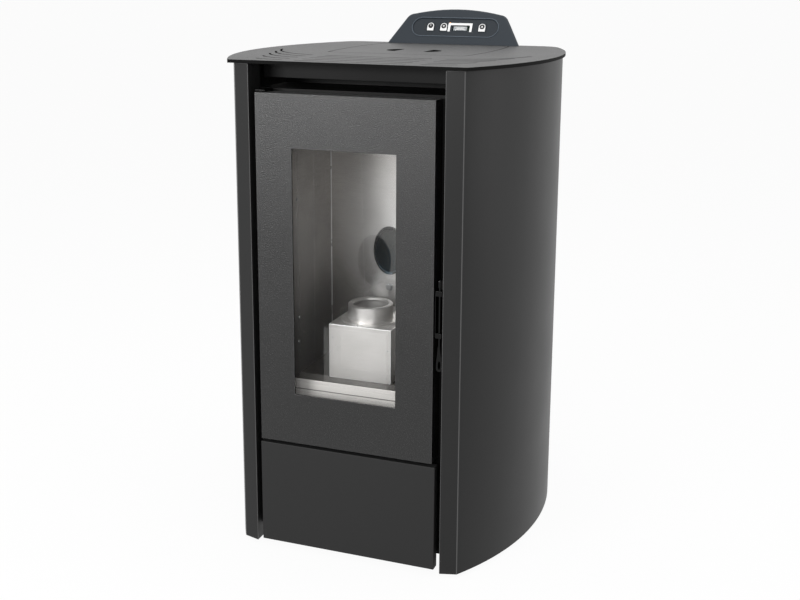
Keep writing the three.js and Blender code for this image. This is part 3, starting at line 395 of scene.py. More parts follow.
def place_group(
    material: bpy.types.Material, tree: bpy.types.NodeTree, values: dict[str, object]
) -> bpy.types.Node:
    """Puts an effect into a material with its own values.

    Args:
        material: The material.
        tree: The effect.
        values: The effect's inputs.

    Returns:
        The group node.
    """
    node = material.node_tree.nodes.new("ShaderNodeGroup")
    node.node_tree = tree
    for key, value in values.items():
        node.inputs[key].default_value = value
    return node


def add_bump(material: bpy.types.Material, height: Socket, strength: float, depth: float) -> None:
    """Feeds a height into the material's normal.

    Args:
        material: The material.
        height: The height.
        strength: How much of it shows, 0 to 1.
        depth: The height's range in metres.
    """
    tree = material.node_tree
    bump = tree.nodes.new("ShaderNodeBump")
    bump.inputs["Strength"].default_value = strength
    bump.inputs["Distance"].default_value = depth
    tree.links.new(height, bump.inputs["Height"])
    tree.links.new(bump.outputs["Normal"], tree.nodes["Principled BSDF"].inputs["Normal"])


@dataclass(frozen=True)
class Coating:
    """Powder paint, grained plastic or rubber."""

    name: str
    tone: Colour
    fleck: Colour
    grain_mm: float = 1.2
    fleck_share: float = 0.5
    roughness: float = 0.5
    swing: float = 0.08
    bump: float = 0.3
    metallic: float = 0.0
    specular: float = 0.5

    def build(self, effects: Effects) -> bpy.types.Material:
        """Makes the material from the shared effects.

        Args:
            effects: The shared effects.

        Returns:
            The material.
        """
        material, shader = start_material(self.name)
        group = place_group(
            material,
            effects.grain,
            {
                "Color": (*self.tone, 1),
                "Fleck Color": (*self.fleck, 1),
                "Grain Scale": 1 / (self.grain_mm * MM),
                "Fleck": self.fleck_share,
                "Roughness": self.roughness,
                "Swing": self.swing,
            },
        )
        links = material.node_tree.links
        links.new(group.outputs["Color"], shader.inputs["Base Color"])
        links.new(group.outputs["Roughness"], shader.inputs["Roughness"])
        shader.inputs["Metallic"].default_value = self.metallic
        shader.inputs["Specular IOR Level"].default_value = self.specular
        depth = self.grain_mm * MM * GRAIN_DEPTH
        add_bump(material, group.outputs["Height"], self.bump, depth)
        return material


@dataclass(frozen=True)
class TintAndLightPatch:
    """A round patch of another colour on steel: painted light and painted shade on the chamber
    walls, and the colouring round the liner bolt and in the chute.
    """

    centre: tuple[float, float, float]
    tone: Colour
    reach: float
    strength: float = 0.7


@dataclass(frozen=True)
class Steel:
    """Bare or plated sheet steel, or a casting."""

    name: str
    tone: Colour
    dark: Colour
    stretch: tuple[float, float, float] = (1.0, 1.0, 0.03)
    streak: float = 0.4
    cloud: float = 0.5
    roughness: float = 0.35
    bump: float = 0.15
    metallic: float = 0.9
    tint_and_light_patches: tuple[TintAndLightPatch, ...] = ()

    def build(self, effects: Effects) -> bpy.types.Material:
        """Makes the material from the shared effects.

        Args:
            effects: The shared effects.

        Returns:
            The material.
        """
        material, shader = start_material(self.name)
        links = material.node_tree.links
        group = place_group(
            material,
            effects.streaks,
            {
                "Color": (*self.tone, 1),
                "Dark Color": (*self.dark, 1),
                "Stretch": self.stretch,
                "Streak": self.streak,
                "Cloud": self.cloud,
                "Roughness": self.roughness,
            },
        )
        colour = group.outputs["Color"]
        # Round patches over the streaked tone; on the chamber walls they are painted light and
        # painted shade.
        for patch_entry in self.tint_and_light_patches:
            patch = place_group(
                material,
                effects.heat,
                {
                    "Halo Color": (*patch_entry.tone, 1),
                    "Centre": patch_entry.centre,
                    "Reach": patch_entry.reach,
                    "Strength": patch_entry.strength,
                },
            )
            links.new(colour, patch.inputs["Color"])
            colour = patch.outputs["Color"]
        links.new(colour, shader.inputs["Base Color"])
        links.new(group.outputs["Roughness"], shader.inputs["Roughness"])
        shader.inputs["Metallic"].default_value = self.metallic
        add_bump(material, group.outputs["Height"], self.bump, STREAK_DEPTH)
        return material


@dataclass(frozen=True)
class ClearGlass:
    """Clear glass that lets the light through to what is behind it."""

    name: str
    tone: Colour = (0.85, 0.88, 0.86)
    alpha: float = 0.12
    roughness: float = 0.03

    def build(self, effects: Effects) -> bpy.types.Material:
        """Makes the material.

        Args:
            effects: The shared effects; not used.

        Returns:
            The material.
        """
        material, shader = start_material(self.name)
        shader.inputs["Base Color"].default_value = (*self.tone, 1)
        shader.inputs["Roughness"].default_value = self.roughness
        shader.inputs["Alpha"].default_value = self.alpha
        shader.inputs["Transmission Weight"].default_value = 1.0
        return material


@dataclass(frozen=True)
class Lamp:
    """A small printed or lit mark of one colour."""

    name: str
    tone: Colour
    glow: float = 0.0

    def build(self, effects: Effects) -> bpy.types.Material:
        """Makes the material from the shared effects.

        Args:
            effects: The shared effects.

        Returns:
            The material.
        """
        material, shader = start_material(self.name)
        group = place_group(
            material,
            effects.grain,
            {
                "Color": (*self.tone, 1),
                "Fleck Color": (*self.tone, 1),
                "Roughness": LAMP_GLOSS,
                "Fleck": 0.1,
            },
        )
        material.node_tree.links.new(group.outputs["Color"], shader.inputs["Base Color"])
        shader.inputs["Roughness"].default_value = LAMP_GLOSS
        shader.inputs["Emission Color"].default_value = (*self.tone, 1)
        shader.inputs["Emission Strength"].default_value = self.glow
        return material


# Dark tone that paints shade into the chamber's lower left rear corner.
PAINTED_CORNER_SHADE = (0.035, 0.03, 0.026)
FINISHES = {
    "satin_black": Coating(
        "casing_satin_paint", grey(36), grey(46), grain_mm=0.8, fleck_share=0.25, roughness=0.4,
        bump=0.05, specular=0.2,
    ),
    "panel_black": Coating(
        "cover_satin_paint", grey(38), grey(46), grain_mm=0.8, fleck_share=0.25, roughness=0.5,
        bump=0.05, specular=0.2,
    ),
    "textured_black": Coating(
        "door_textured_paint", grey(17), grey(64), grain_mm=1.6, fleck_share=0.5, roughness=0.34,
        bump=0.9, specular=0.45,
    ),
    "plate_grey": Coating(
        "top_textured_paint", grey(62), grey(116), grain_mm=1.6, fleck_share=0.55, roughness=0.5,
        bump=0.6, specular=0.4,
    ),
    # Lighter paint on the fold strips of the side casings and the door: a painted highlight.
    "painted_fold_highlight": Coating(
        "painted_fold_highlight_paint", grey(78), grey(90), grain_mm=0.8, fleck_share=0.2, roughness=0.35,
        specular=0.3,
    ),
    # Cream steel of the floor's front lip: partly its bare unburnt steel, partly painted light.
    "sill_steel_and_painted_light": Steel(
        "sill_lip_steel_and_painted_light", grey(226, 0.015), grey(196, 0.02), stretch=(0.05, 1.0, 1.0),
        streak=0.3, cloud=0.3, roughness=0.5, metallic=0.35,
    ),
    # Near-white steel on the burner box's fold strips: a painted highlight.
    "burner_fold_highlight_steel": Steel(
        "burner_fold_painted_highlight", grey(245), grey(225), streak=0.2, cloud=0.2, roughness=0.35,
        metallic=0.5,
    ),
    # Near-black paint on the cut edges and slot walls of the top plate and lid: painted shadow.
    "slot_shadow": Coating(
        "slot_wall_painted_shadow", grey(9), grey(14), grain_mm=0.9, fleck_share=0.2, roughness=0.7,
        specular=0.1,
    ),
    "brushed_steel": Steel(
        "chamber_steel", grey(150, 0.02), grey(96, 0.03), stretch=(0.03, 0.03, 1.0), streak=0.35,
        cloud=0.3, roughness=0.34,
        tint_and_light_patches=(
            # Lighter high on the front of the left wall: painted light.
            TintAndLightPatch((-0.105, -0.19, 0.40), grey(205, 0.01), 0.17, 0.6),
            # Darker towards the lower left rear corner: painted shade.
            TintAndLightPatch((-0.105, -0.08, 0.31), PAINTED_CORNER_SHADE, 0.13, 0.85),
        ),
    ),
    "back_steel": Steel(
        "chamber_back_steel", grey(168, 0.02), grey(112, 0.03), stretch=(0.03, 1.0, 1.0),
        streak=0.4, cloud=0.3, roughness=0.33,
        tint_and_light_patches=(
            # Darker towards the lower left rear corner: painted shade.
            TintAndLightPatch((-0.115, -0.08, 0.36), PAINTED_CORNER_SHADE, 0.19, 0.85),
            # Lighter towards the upper right of the back wall: painted light.
            TintAndLightPatch((0.06, -0.08, 0.50), grey(235), 0.17, 0.7),
            # A pale ring round the liner bolt with a darker warm middle.
            TintAndLightPatch((0.0, -0.081, 0.398), grey(246), 0.034, 0.85),
            TintAndLightPatch((0.0, -0.081, 0.398), grey(120, 0.04), 0.016, 0.7),
        ),
    ),
    "floor_steel": Steel(
        "scorched_floor_steel", grey(56, 0.08), grey(30, 0.1), stretch=(0.05, 1.0, 1.0),
        streak=0.4, cloud=0.6, roughness=0.55, metallic=0.15,
    ),
    "seam_steel": Steel(
        "seam_bead_steel", grey(225), grey(190), streak=0.3, cloud=0.3, roughness=0.3,
    ),
    "burner_steel": Steel(
        "burner_sheet_steel", grey(190, 0.01), grey(164, 0.018), stretch=(0.05, 1.0, 1.0),
        streak=0.3, cloud=0.5, roughness=0.5, metallic=0.75,
    ),
    "cast_steel": Steel(
        "pot_casting", grey(214, 0.01), grey(150, 0.02), stretch=(1.0, 1.0, 1.0), cloud=0.5,
        roughness=0.4, bump=0.4,
    ),
    "zinc_steel": Steel(
        "zinc_plate", grey(170, -0.01), grey(120), stretch=(1, 1, 1), streak=0.3, roughness=0.38,
    ),
    "dark_steel": Coating(
        "inner_black_paint", grey(13), grey(22), grain_mm=0.9, fleck_share=0.3, roughness=0.5,
        bump=0.15, specular=0.12,
    ),
    "handle_black": Coating(
        "handle_black_paint", grey(7), grey(13), grain_mm=0.7, roughness=0.14, bump=0.04,
        specular=0.2,
    ),
    "console_plastic": Coating(
        "console_plastic", grey(46, -0.12), grey(58, -0.1), grain_mm=0.9, fleck_share=0.3,
        roughness=0.5, bump=0.15, specular=0.25,
    ),
    "bezel_plastic": Coating(
        "bezel_plastic", grey(42, -0.12), grey(50, -0.1), grain_mm=0.8, fleck_share=0.2,
        roughness=0.45, bump=0.06, specular=0.25,
    ),
    "rim_plastic": Coating(
        "rim_plastic", grey(80, -0.1), grey(96, -0.08), grain_mm=0.8, roughness=0.4, specular=0.3,
    ),
    "key_plastic": Coating(
        "key_plastic", grey(226), grey(238), grain_mm=0.7, fleck_share=0.2, roughness=0.35,
        bump=0.04,
    ),
    "board_green": Coating(
        "board_green", (0.003, 0.022, 0.01), (0.006, 0.05, 0.02), roughness=0.4, specular=0.2,
    ),
    "rope": Coating(
        "fibre_rope", grey(100, 0.02), grey(160, 0.02), grain_mm=1.8, roughness=0.9, bump=0.9,
    ),
    "heat_glass": ClearGlass("door_heat_glass"),
    "black_rubber": Coating(
        "foot_rubber", grey(22), grey(34), grain_mm=0.9, roughness=0.75, bump=0.3,
    ),
    "black_plastic": Coating(
        "inlet_plastic", grey(20), grey(32), grain_mm=0.8, roughness=0.4, bump=0.1,
    ),
    "print_black": Lamp("print_black", grey(16)),
    "print_white": Lamp("print_white", grey(228)),
    "display_grey": Lamp("display_segments", grey(150, -0.02), glow=0.1),
    "display_marks": Lamp("display_marks", grey(215), glow=0.15),
    "lamp_orange": Lamp("lamp_orange", (0.9, 0.3, 0.03), glow=0.6),
    "chute_enamel": Coating(
        "chute_black_enamel", grey(14), grey(24), grain_mm=1.0, fleck_share=0.2, roughness=0.35,
        specular=0.3,
    ),
    "chute_tint": Steel(
        "chute_heat_tint", (0.10, 0.15, 0.19), (0.05, 0.07, 0.085), stretch=(1.0, 1.0, 1.0),
        streak=0.4, cloud=0.6, roughness=0.3,
        tint_and_light_patches=(TintAndLightPatch((0.02, -0.03, 0.50), (0.36, 0.32, 0.27), 0.06, 0.85),),
    ),
}


class Palette:
    """Builds each finish once and hands it out by name."""

    def __init__(self) -> None:
        """Starts with the shared effects and no materials."""
        self.effects = Effects()
        self.made: dict[str, bpy.types.Material] = {}

    def get(self, name: str) -> bpy.types.Material:
        """Looks up a finish, which is made at its first use.

        Args:
            name: The finish.

        Returns:
            Its material.
        """
        if name not in self.made:
            self.made[name] = FINISHES[name].build(self.effects)
        return self.made[name]


# ------------------------------------------------------------------ mesh helpers

FOLD_LENGTH = 20 * MM
TINY = 1e-6
WELD_DISTANCE = 2e-6
LEVEL_ANGLE = 0.6


def add_object(name: str, mesh: bmesh.types.BMesh, smooth_angle: float = 35.0) -> bpy.types.Object:
    """Turns a BMesh into an object of the scene.

    Args:
        name: The object's name.
        mesh: The mesh; it is freed.
        smooth_angle: Edges sharper than this, in degrees, stay sharp.

    Returns:
        The object.
    """
    data = bpy.data.meshes.new(name)
    bmesh.ops.recalc_face_normals(mesh, faces=mesh.faces)
    mesh.to_mesh(data)
    mesh.free()
    data.polygons.foreach_set("use_smooth", [True] * len(data.polygons))
    data.set_sharp_from_angle(angle=math.radians(smooth_angle))
    made = bpy.data.objects.new(name, data)
    bpy.context.scene.collection.objects.link(made)
    return made


def prism(outline: Outline, depth: float, to_place: Place) -> bmesh.types.BMesh:
    """Raises a flat outline to a solid.

    Args:
        outline: Points of the outline in order.
        depth: The thickness.
        to_place: Turns the outline's two coordinates and a height into a point.

    Returns:
        The solid.
    """
    mesh = bmesh.new()
    rings = [[mesh.verts.new(to_place(a, b, h)) for a, b in outline] for h in (0.0, depth)]
    mesh.faces.new(rings[0])
    mesh.faces.new(list(reversed(rings[1])))
    count = len(outline)
    for i in range(count):
        j = (i + 1) % count
        mesh.faces.new((rings[0][i], rings[0][j], rings[1][j], rings[1][i]))
    return mesh


def soften(mesh: bmesh.types.BMesh, width: float, segments: int = 2, angle: float = 32.0) -> None:
    """Rounds the sharp edges of a mesh.

    Args:
        mesh: The mesh, changed in place.
        width: Radius of the rounding.
        segments: Number of strips in it.
        angle: Edges sharper than this, in degrees, are rounded.
    """
    limit = math.radians(angle)
    sharp = [e for e in mesh.edges if len(e.link_faces) == 2 and e.calc_face_angle(0.0) > limit]
    bmesh.ops.bevel(
        mesh,
        geom=sharp,
        offset=width,
        segments=segments,
        profile=0.5,
        affect="EDGES",
        clamp_overlap=True,
    )


def cut_edges(mesh: bmesh.types.BMesh) -> None:
    """Marks the cut edges of a level plate and of the slots through it, which take a dark finish as
    painted shadow.

    Args:
        mesh: The plate, whose cut edges get the second finish.
    """
    mesh.normal_update()
    for face in mesh.faces:
        if abs(face.normal.z) < 0.95:
            face.material_index = 1


def fold_strips(limit_mm: float) -> Marker:
    """Makes a marker for the narrow rounded faces along folds, which take a lighter second finish
    as a painted highlight.

    Args:
        limit_mm: A long face narrower than this is part of a fold.

    Returns:
        The marker.
    """

    def mark(mesh: bmesh.types.BMesh) -> None:
        """Gives the second finish to the strips.

        Args:
            mesh: The sheet.
        """
        for face in mesh.faces:
            lengths = sorted(edge.calc_length() for edge in face.edges)
            if lengths[0] < limit_mm * MM and lengths[-1] > FOLD_LENGTH:
                face.material_index = 1

    return mark


def ring_points(radius: float, count: int) -> Outline:
    """Points round a circle."""
    turns = [2 * math.pi * i / count for i in range(count)]
    return [(radius * math.cos(turn), radius * math.sin(turn)) for turn in turns]


def rectangle(left: float, low: float, right: float, high: float) -> Outline:
    """The corners of a rectangle."""
    return [(left, low), (right, low), (right, high), (left, high)]


def stadium(width: float, height: float, steps: int) -> Outline:
    """The outline of a bar with half-round ends.

    Args:
        width: Its whole width.
        height: Its height.
        steps: Number of sides of each end.

    Returns:
        The outline.
    """
    radius = height / 2
    reach = width / 2 - radius
    right = [(-math.pi / 2 + math.pi * i / steps) for i in range(steps + 1)]
    points = [(reach + radius * math.cos(a), radius * math.sin(a)) for a in right]
    return points + [(-x, -y) for x, y in points]


def tube_along(
    name: str, path: list[Vector], radius: float, sides: int, closed: bool
) -> bpy.types.Object:
    """Sweeps a round section along points.

    Args:
        name: The object's name.
        path: The points.
        radius: The section's radius.
        sides: Number of sides of the section.
        closed: Whether the last point joins the first.

    Returns:
        The tube.
    """
    mesh = bmesh.new()
    rings = []
    count = len(path)
    for i, point in enumerate(path):
        ahead = path[(i + 1) % count] if closed or i + 1 < count else point
        behind = path[i - 1] if closed or i > 0 else point
        along = (ahead - behind).normalized()
        across = along.cross(Vector((0, 1, 0)))
        if across.length < TINY:
            across = along.cross(Vector((1, 0, 0)))
        across.normalize()
        up = along.cross(across).normalized()
        round_it = [across * a + up * b for a, b in ring_points(radius, sides)]
        rings.append([mesh.verts.new(point + step) for step in round_it])
    spans = count if closed else count - 1
    for i in range(spans):
        j = (i + 1) % count
        for k in range(sides):
            m = (k + 1) % sides
            mesh.faces.new((rings[i][k], rings[i][m], rings[j][m], rings[j][k]))
    if not closed:
        mesh.faces.new(rings[0])
        mesh.faces.new(list(reversed(rings[-1])))
    return add_object(name, mesh, smooth_angle=60.0)


def straight(start: Vector, end: Vector, steps: int) -> list[Vector]:
    """Evenly spaced points from one end of a line to the other."""
    return [start.lerp(end, i / steps) for i in range(steps + 1)]


class Workshop:
    """Makes pieces, dresses them and puts them on their bodies."""

    def __init__(self, frame: dict, palette: Palette) -> None:
        """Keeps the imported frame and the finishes.

        Args:
            frame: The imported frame.
            palette: The finishes.
        """
        self.frame = frame
        self.palette = palette
        self.count = 0

    def seat(
        self, piece: bpy.types.Object, body: Body, slot: str, finish: str | None = None
    ) -> bpy.types.Object:
        """Gives a piece its finish and its body.

        Args:
            piece: The piece.
            body: The body that carries it.
            slot: The record's material slot.
            finish: The finish, or None for the slot's own.

        Returns:
            The piece.
        """
        piece.data.materials.append(self.palette.get(finish or slot))
        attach(piece, body.value)
        self.count += 1
        LOG.info("piece %s on %s", piece.name, body.value)
        return piece

    def rounded(
        self,
        node: str,
        body: Body,
        slot: str,
        width_mm: float,
        finish: str | None = None,
        angle: float = 32.0,
        mark: Marker | None = None,
        second: str | None = None,
    ) -> bpy.types.Object:
        """Replaces a CAD node by the same solid with rounded edges.

        Args:
            node: The CAD node.
            body: The body that carries it.
            slot: The record's material slot.
            width_mm: Radius of the rounding.
            finish: The finish, or None for the slot's own.
            angle: Edges sharper than this are rounded.
            mark: Picks the faces that take the second finish.
            second: The second finish.

        Returns:
            The new piece.
        """
        mesh = bmesh.new()
        mesh.from_mesh(self.frame["nodes"][node].data)
        bmesh.ops.remove_doubles(mesh, verts=mesh.verts, dist=WELD_DISTANCE)
        bmesh.ops.dissolve_limit(
            mesh,
            angle_limit=math.radians(LEVEL_ANGLE),
            verts=mesh.verts,
            edges=mesh.edges,
            use_dissolve_boundaries=False,
        )
        soften(mesh, width_mm * MM, angle=angle)
        if mark is not None:
            mark(mesh)
        piece = add_object(f"{node}_finished", mesh)
        evener = piece.modifiers.new("even_faces", "WEIGHTED_NORMAL")
        evener.keep_sharp = True
        self.seat(piece, body, slot, finish)
        if second is not None:
            piece.data.materials.append(self.palette.get(second))
        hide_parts(node)
        return piece

    def coat(self, node: str, finish: str) -> None:
        """Gives a CAD node that stays a finish of its own.

        Args:
            node: The CAD node.
            finish: The finish.
        """
        kept = self.frame["nodes"][node]
        if not kept.material_slots:
            kept.data.materials.append(self.palette.get(finish))
        for entry in kept.material_slots:
            entry.material = self.palette.get(finish)
        LOG.info("node %s in %s", node, finish)


# ------------------------------------------------------------------ sub-assemblies


@dataclass
class Fastener:
    """A pan-head screw with a round recess in its head, or a blind rivet."""

    radius: float = 3.2 * MM
    height: float = 1.4 * MM
    recess: float = 0.5 * MM
    sides: int = 20

    def build(self, name: str, at: Vector, along: Vector) -> bpy.types.Object:
        """Makes the head on a surface.

        Args:
            name: The piece's name.
            at: Where the head sits.
            along: The direction away from the surface.

        Returns:
            The piece.
        """
        mesh = bmesh.new()
        turn = along.to_track_quat("Z", "Y").to_matrix()
        rings = []
        for wide, share in ((1.0, 0.0), (1.0, 0.35), (0.82, 0.8), (0.45, 1.0)):
            points = ring_points(self.radius * wide, self.sides)
            places = [at + turn @ Vector((a, b, share * self.height)) for a, b in points]
            rings.append([mesh.verts.new(place) for place in places])
        for low, high in zip(rings, rings[1:]):
            for i in range(self.sides):
                j = (i + 1) % self.sides
                mesh.faces.new((low[i], low[j], high[j], high[i]))
        mesh.faces.new(list(reversed(rings[0])))
        centre = mesh.verts.new(at + turn @ Vector((0, 0, self.height - self.recess)))
        for i in range(self.sides):
            mesh.faces.new((rings[-1][i], rings[-1][(i + 1) % self.sides], centre))
        return add_object(name, mesh)


@dataclass
class Casing:
    """Outer sheets, top plate, feet and rear."""

    shop: Workshop
    sheet_round_mm: float = 0.9
    plate_round_mm: float = 0.35
    lid_round_mm: float = 0.6
    screw_heights: tuple[float, ...] = (0.06, 0.24, 0.42, 0.6, 0.74)
    screw_inset: float = 30 * MM

    def build(self) -> None:
        """Dresses the outside of the stove."""
        for side in ("left", "right"):
            self.shop.rounded(
                f"side_casing_{side}",
                Body.CASING,
                "satin_black",
                self.sheet_round_mm,
                angle=20.0,
                # The fold strips take a lighter paint: a painted highlight along the folds.
                mark=fold_strips(self.sheet_round_mm),
                second="painted_fold_highlight",
            )
        self.shop.rounded(
            "top_plate",
            Body.CASING,
            "plate_grey",
            self.plate_round_mm,
            angle=40.0,
            mark=cut_edges,
            second="slot_shadow",
        )
        self.shop.rounded("lower_panel", Body.LOWER_PANEL, "satin_black", 1.0, finish="panel_black")
        self.shop.rounded(
            "hopper_lid",
            Body.LID,
            "plate_grey",
            self.lid_round_mm,
            angle=40.0,
            mark=cut_edges,
            second="slot_shadow",
        )
        self.shop.rounded("rear_panel", Body.CASING, "satin_black", 0.3)
        self.shop.rounded("front_frame", Body.CASING, "dark_steel", 0.4)
        self.shop.rounded("air_outlet_fascia", Body.CASING, "dark_steel", 0.5)
        for end in ("front", "rear"):
            for side in ("left", "right"):
                self.shop.rounded(f"foot_{end}_{side}", Body.CASING, "black_rubber", 0.5)
        for node in ("base_plate", "lid_hinge_pin_left", "lid_hinge_pin_right"):
            self.shop.coat(node, "zinc_steel")
        self.rear_screws()

    def rear_screws(self) -> None:
        """Screws the rear panel to the casing's flanges."""
        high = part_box("rear_panel")[1]
        for index, z in enumerate(self.screw_heights):
            for side, sign in (("left", -1), ("right", 1)):
                at = Vector((sign * (high.x - self.screw_inset), high.y, z))
                screw = Fastener().build(f"rear_screw_{index}_{side}", at, Vector((0, 1, 0)))
                self.shop.seat(screw, Body.CASING, "zinc_steel")


@dataclass
class Door:
    """The door's face, glass, seals and handle."""

    shop: Workshop
    edge_mm: float = 1.2
    rope_corner: float = 16 * MM
    rope_inset: float = 4.3 * MM
    rope_share: float = 0.96

    def build(self) -> None:
        """Dresses the door and its handle."""
        self.shop.rounded(
            "door_face",
            Body.DOOR,
            "textured_black",
            self.edge_mm,
            # The fold strips along the door's edges take a lighter paint: a painted highlight.
            mark=fold_strips(self.edge_mm),
            second="painted_fold_highlight",
        )
        self.shop.rounded("door_inner_frame", Body.DOOR, "dark_steel", 0.4)
        self.shop.rounded("glass_retainer", Body.DOOR, "zinc_steel", 0.3, finish="dark_steel")
        for node, body, width, angle in (
            ("door_handle", Body.HANDLE, 0.5, 40.0),
            ("handle_bracket", Body.DOOR, 0.4, 32.0),
            ("latch_keeper", Body.CASING, 0.3, 32.0),
            ("door_hinge_bracket_top", Body.CASING, 0.3, 32.0),
            ("door_hinge_bracket_bottom", Body.CASING, 0.3, 32.0),
        ):
            self.shop.rounded(node, body, "dark_steel", width, finish="handle_black", angle=angle)
        self.shop.coat("door_glass", "heat_glass")
        self.shop.coat("glass_gasket", "rope")
        self.rope_seal()

    def rope_seal(self) -> None:
        """Lays a round rope in place of the plain door gasket."""
        low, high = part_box("door_gasket")
        corner, steps = self.rope_corner, 8
        back = self.rope_inset + corner
        left, right, bottom, top = low.x + back, high.x - back, low.z + back, high.z - back
        middle = (low.y + high.y) / 2
        path: list[Vector] = []
        corners = ((right, top), (left, top), (left, bottom), (right, bottom))
        for index, (x, z) in enumerate(corners):
            for i in range(steps + 1):
                angle = math.radians(90 * (index + i / steps))
                across, up = corner * math.cos(angle), corner * math.sin(angle)
                path.append(Vector((x + across, middle, z + up)))
        radius = (high.y - low.y) / 2 * self.rope_share
        rope = tube_along("door_gasket_rope", path, radius, 12, closed=True)
        self.shop.seat(rope, Body.DOOR, "rope")
        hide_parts("door_gasket")


@dataclass
class FireChamber:
    """Steel liner, burner box, burn pot and chute mouth."""

    shop: Workshop
    fold_radius_mm: float = 0.9
    lip_depth: float = 5 * MM
    step_drop: float = 16 * MM
    step_inset: float = 4 * MM
    step_radius: float = 0.7 * MM
    bead_inset: float = 0.6 * MM
    bead_radius: float = 0.8 * MM
    rivet_edge: float = 7 * MM
    liner_screws: tuple[tuple[float, float], ...] = (
        (20 * MM, 0.331),
        (24 * MM, 0.37),
        (20 * MM, 0.56),
    )
    chute_start: tuple[float, float, float] = (0.0, -0.0788, 0.46194)
    chute_along: tuple[float, float, float] = (0.0, 1.0, 1.0)

    def build(self) -> None:
        """Dresses what shows behind the window."""
        for node, finish in (
            ("liner_left", "brushed_steel"),
            ("liner_right", "brushed_steel"),
            ("liner_back", "back_steel"),
            ("fire_chamber", "dark_steel"),
            ("baffle_plate", "dark_steel"),
        ):
            self.shop.coat(node, finish)
        self.shop.rounded(
            "chamber_floor",
            Body.CASING,
            "brushed_steel",
            0.7,
            # The front lip's cream steel is partly painted light.
            finish="sill_steel_and_painted_light",
            mark=self.behind_lip,
            second="floor_steel",
        )
        self.shop.rounded(
            "burner_box",
            Body.CASING,
            "brushed_steel",
            self.fold_radius_mm,
            finish="burner_steel",
            # The fold strips take near-white steel: a painted highlight along the box's folds.
            mark=fold_strips(self.fold_radius_mm),
            second="burner_fold_highlight_steel",
        )
        self.shop.rounded("burn_pot", Body.BURN_POT, "cast_steel", 0.5)
        self.shop.rounded("liner_bolt", Body.CASING, "zinc_steel", 0.5)
        self.shop.rounded(
            "feed_chute",
            Body.CASING,
            "dark_steel",
            0.5,
            finish="chute_enamel",
            mark=self.chute_bore,
            second="chute_tint",
        )
        self.shop.rounded("igniter", Body.CASING, "zinc_steel", 0.4)
        self.rivets()
        self.corner_beads()
        self.sill_fold()

    def behind_lip(self, mesh: bmesh.types.BMesh) -> None:
        """Marks the floor behind the front lip, which the fire has browned.

        Args:
            mesh: The floor.
        """
        mesh.normal_update()
        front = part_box("chamber_floor")[0].y + self.lip_depth
        for face in mesh.faces:
            if face.normal.z > 0.8 and face.calc_center_median().y > front:
                face.material_index = 1

    def chute_bore(self, mesh: bmesh.types.BMesh) -> None:
        """Marks the inside of the chute, which the fire has tinted.

        Args:
            mesh: The chute.
        """
        mesh.normal_update()
        start = Vector(self.chute_start)
        along = Vector(self.chute_along).normalized()
        for face in mesh.faces:
            out = face.calc_center_median() - start
            out -= along * out.dot(along)
            if out.length > TINY and face.normal.dot(out.normalized()) < -0.7:
                face.material_index = 1

    def sill_fold(self) -> None:
        """The step along the front of the sill."""
        low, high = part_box("chamber_floor")
        z = high.z - self.step_drop
        start = Vector((low.x + self.step_inset, low.y, z))
        end = Vector((high.x - self.step_inset, low.y, z))
        step = tube_along("sill_step", straight(start, end, 10), self.step_radius, 8, closed=False)
        self.shop.seat(step, Body.CASING, "brushed_steel", finish="floor_steel")

    def corner_beads(self) -> None:
        """Welded seams in the rear corners of the liner."""
        for side, sign in (("left", -1), ("right", 1)):
            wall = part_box(f"liner_{side}")
            x = (wall[1].x if sign < 0 else wall[0].x) - sign * self.bead_inset
            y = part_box("liner_back")[0].y - self.bead_inset
            low, high = wall[0].z + 8 * MM, wall[1].z - 2 * MM
            path = straight(Vector((x, y, low)), Vector((x, y, high)), 12)
            bead = tube_along(f"corner_bead_{side}", path, self.bead_radius, 8, closed=False)
            self.shop.seat(bead, Body.CASING, "brushed_steel", finish="seam_steel")

    def rivets(self) -> None:
        """Puts rivets on the burner box's front and screws on the left liner."""
        low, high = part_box("burner_box")
        edge = self.rivet_edge
        rivet = Fastener(radius=1.3 * MM, height=0.5 * MM, recess=0.1 * MM)
        spots = (
            ("burner_rivet_upper", low.x + edge, high.z - 22 * MM),
            ("burner_rivet_right", high.x - edge * 0.8, high.z - 34 * MM),
            ("burner_rivet_lower", high.x - edge, low.z + 9 * MM),
        )
        for name, x, z in spots:
            piece = rivet.build(name, Vector((x, low.y, z)), Vector((0, -1, 0)))
            self.shop.seat(piece, Body.CASING, "zinc_steel")
        front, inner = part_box("liner_left")
        for index, (depth, z) in enumerate(self.liner_screws):
            at = Vector((inner.x, front.y + depth, z))
            piece = Fastener(radius=2.6 * MM).build(f"liner_screw_{index}", at, Vector((1, 0, 0)))
            self.shop.seat(piece, Body.CASING, "zinc_steel")


@dataclass
class Feed:
    """Hopper, auger, fans and the fittings at the rear."""

    shop: Workshop

    def build(self) -> None:
        """Dresses the hidden works and the rear fittings."""
        for node, body, slot, width in (
            ("hopper", Body.CASING, "zinc_steel", 0.4),
            ("auger_tube", Body.CASING, "zinc_steel", 0.4),
            ("auger_motor", Body.CASING, "zinc_steel", 1.0),
            ("smoke_duct", Body.CASING, "zinc_steel", 0.5),
            ("exhaust_fan_case", Body.CASING, "zinc_steel", 0.5),
            ("exhaust_fan_motor", Body.CASING, "dark_steel", 0.8),
            ("room_fan_case", Body.CASING, "zinc_steel", 0.5),
            ("room_fan_motor", Body.CASING, "dark_steel", 0.8),
            ("flue_spigot", Body.CASING, "zinc_steel", 0.4),
            ("air_intake_pipe", Body.CASING, "zinc_steel", 0.4),
            ("power_inlet", Body.CASING, "black_plastic", 0.5),
            ("mains_rocker", Body.ROCKER, "black_plastic", 0.5),
        ):
            self.shop.rounded(node, body, slot, width)
        for node in ("smoke_duct_side_plate", "auger_screw", "exhaust_fan_wheel"):
            self.shop.coat(node, "zinc_steel")
        self.shop.coat("room_fan_drum", "dark_steel")
        self.shop.coat("control_board", "board_green")


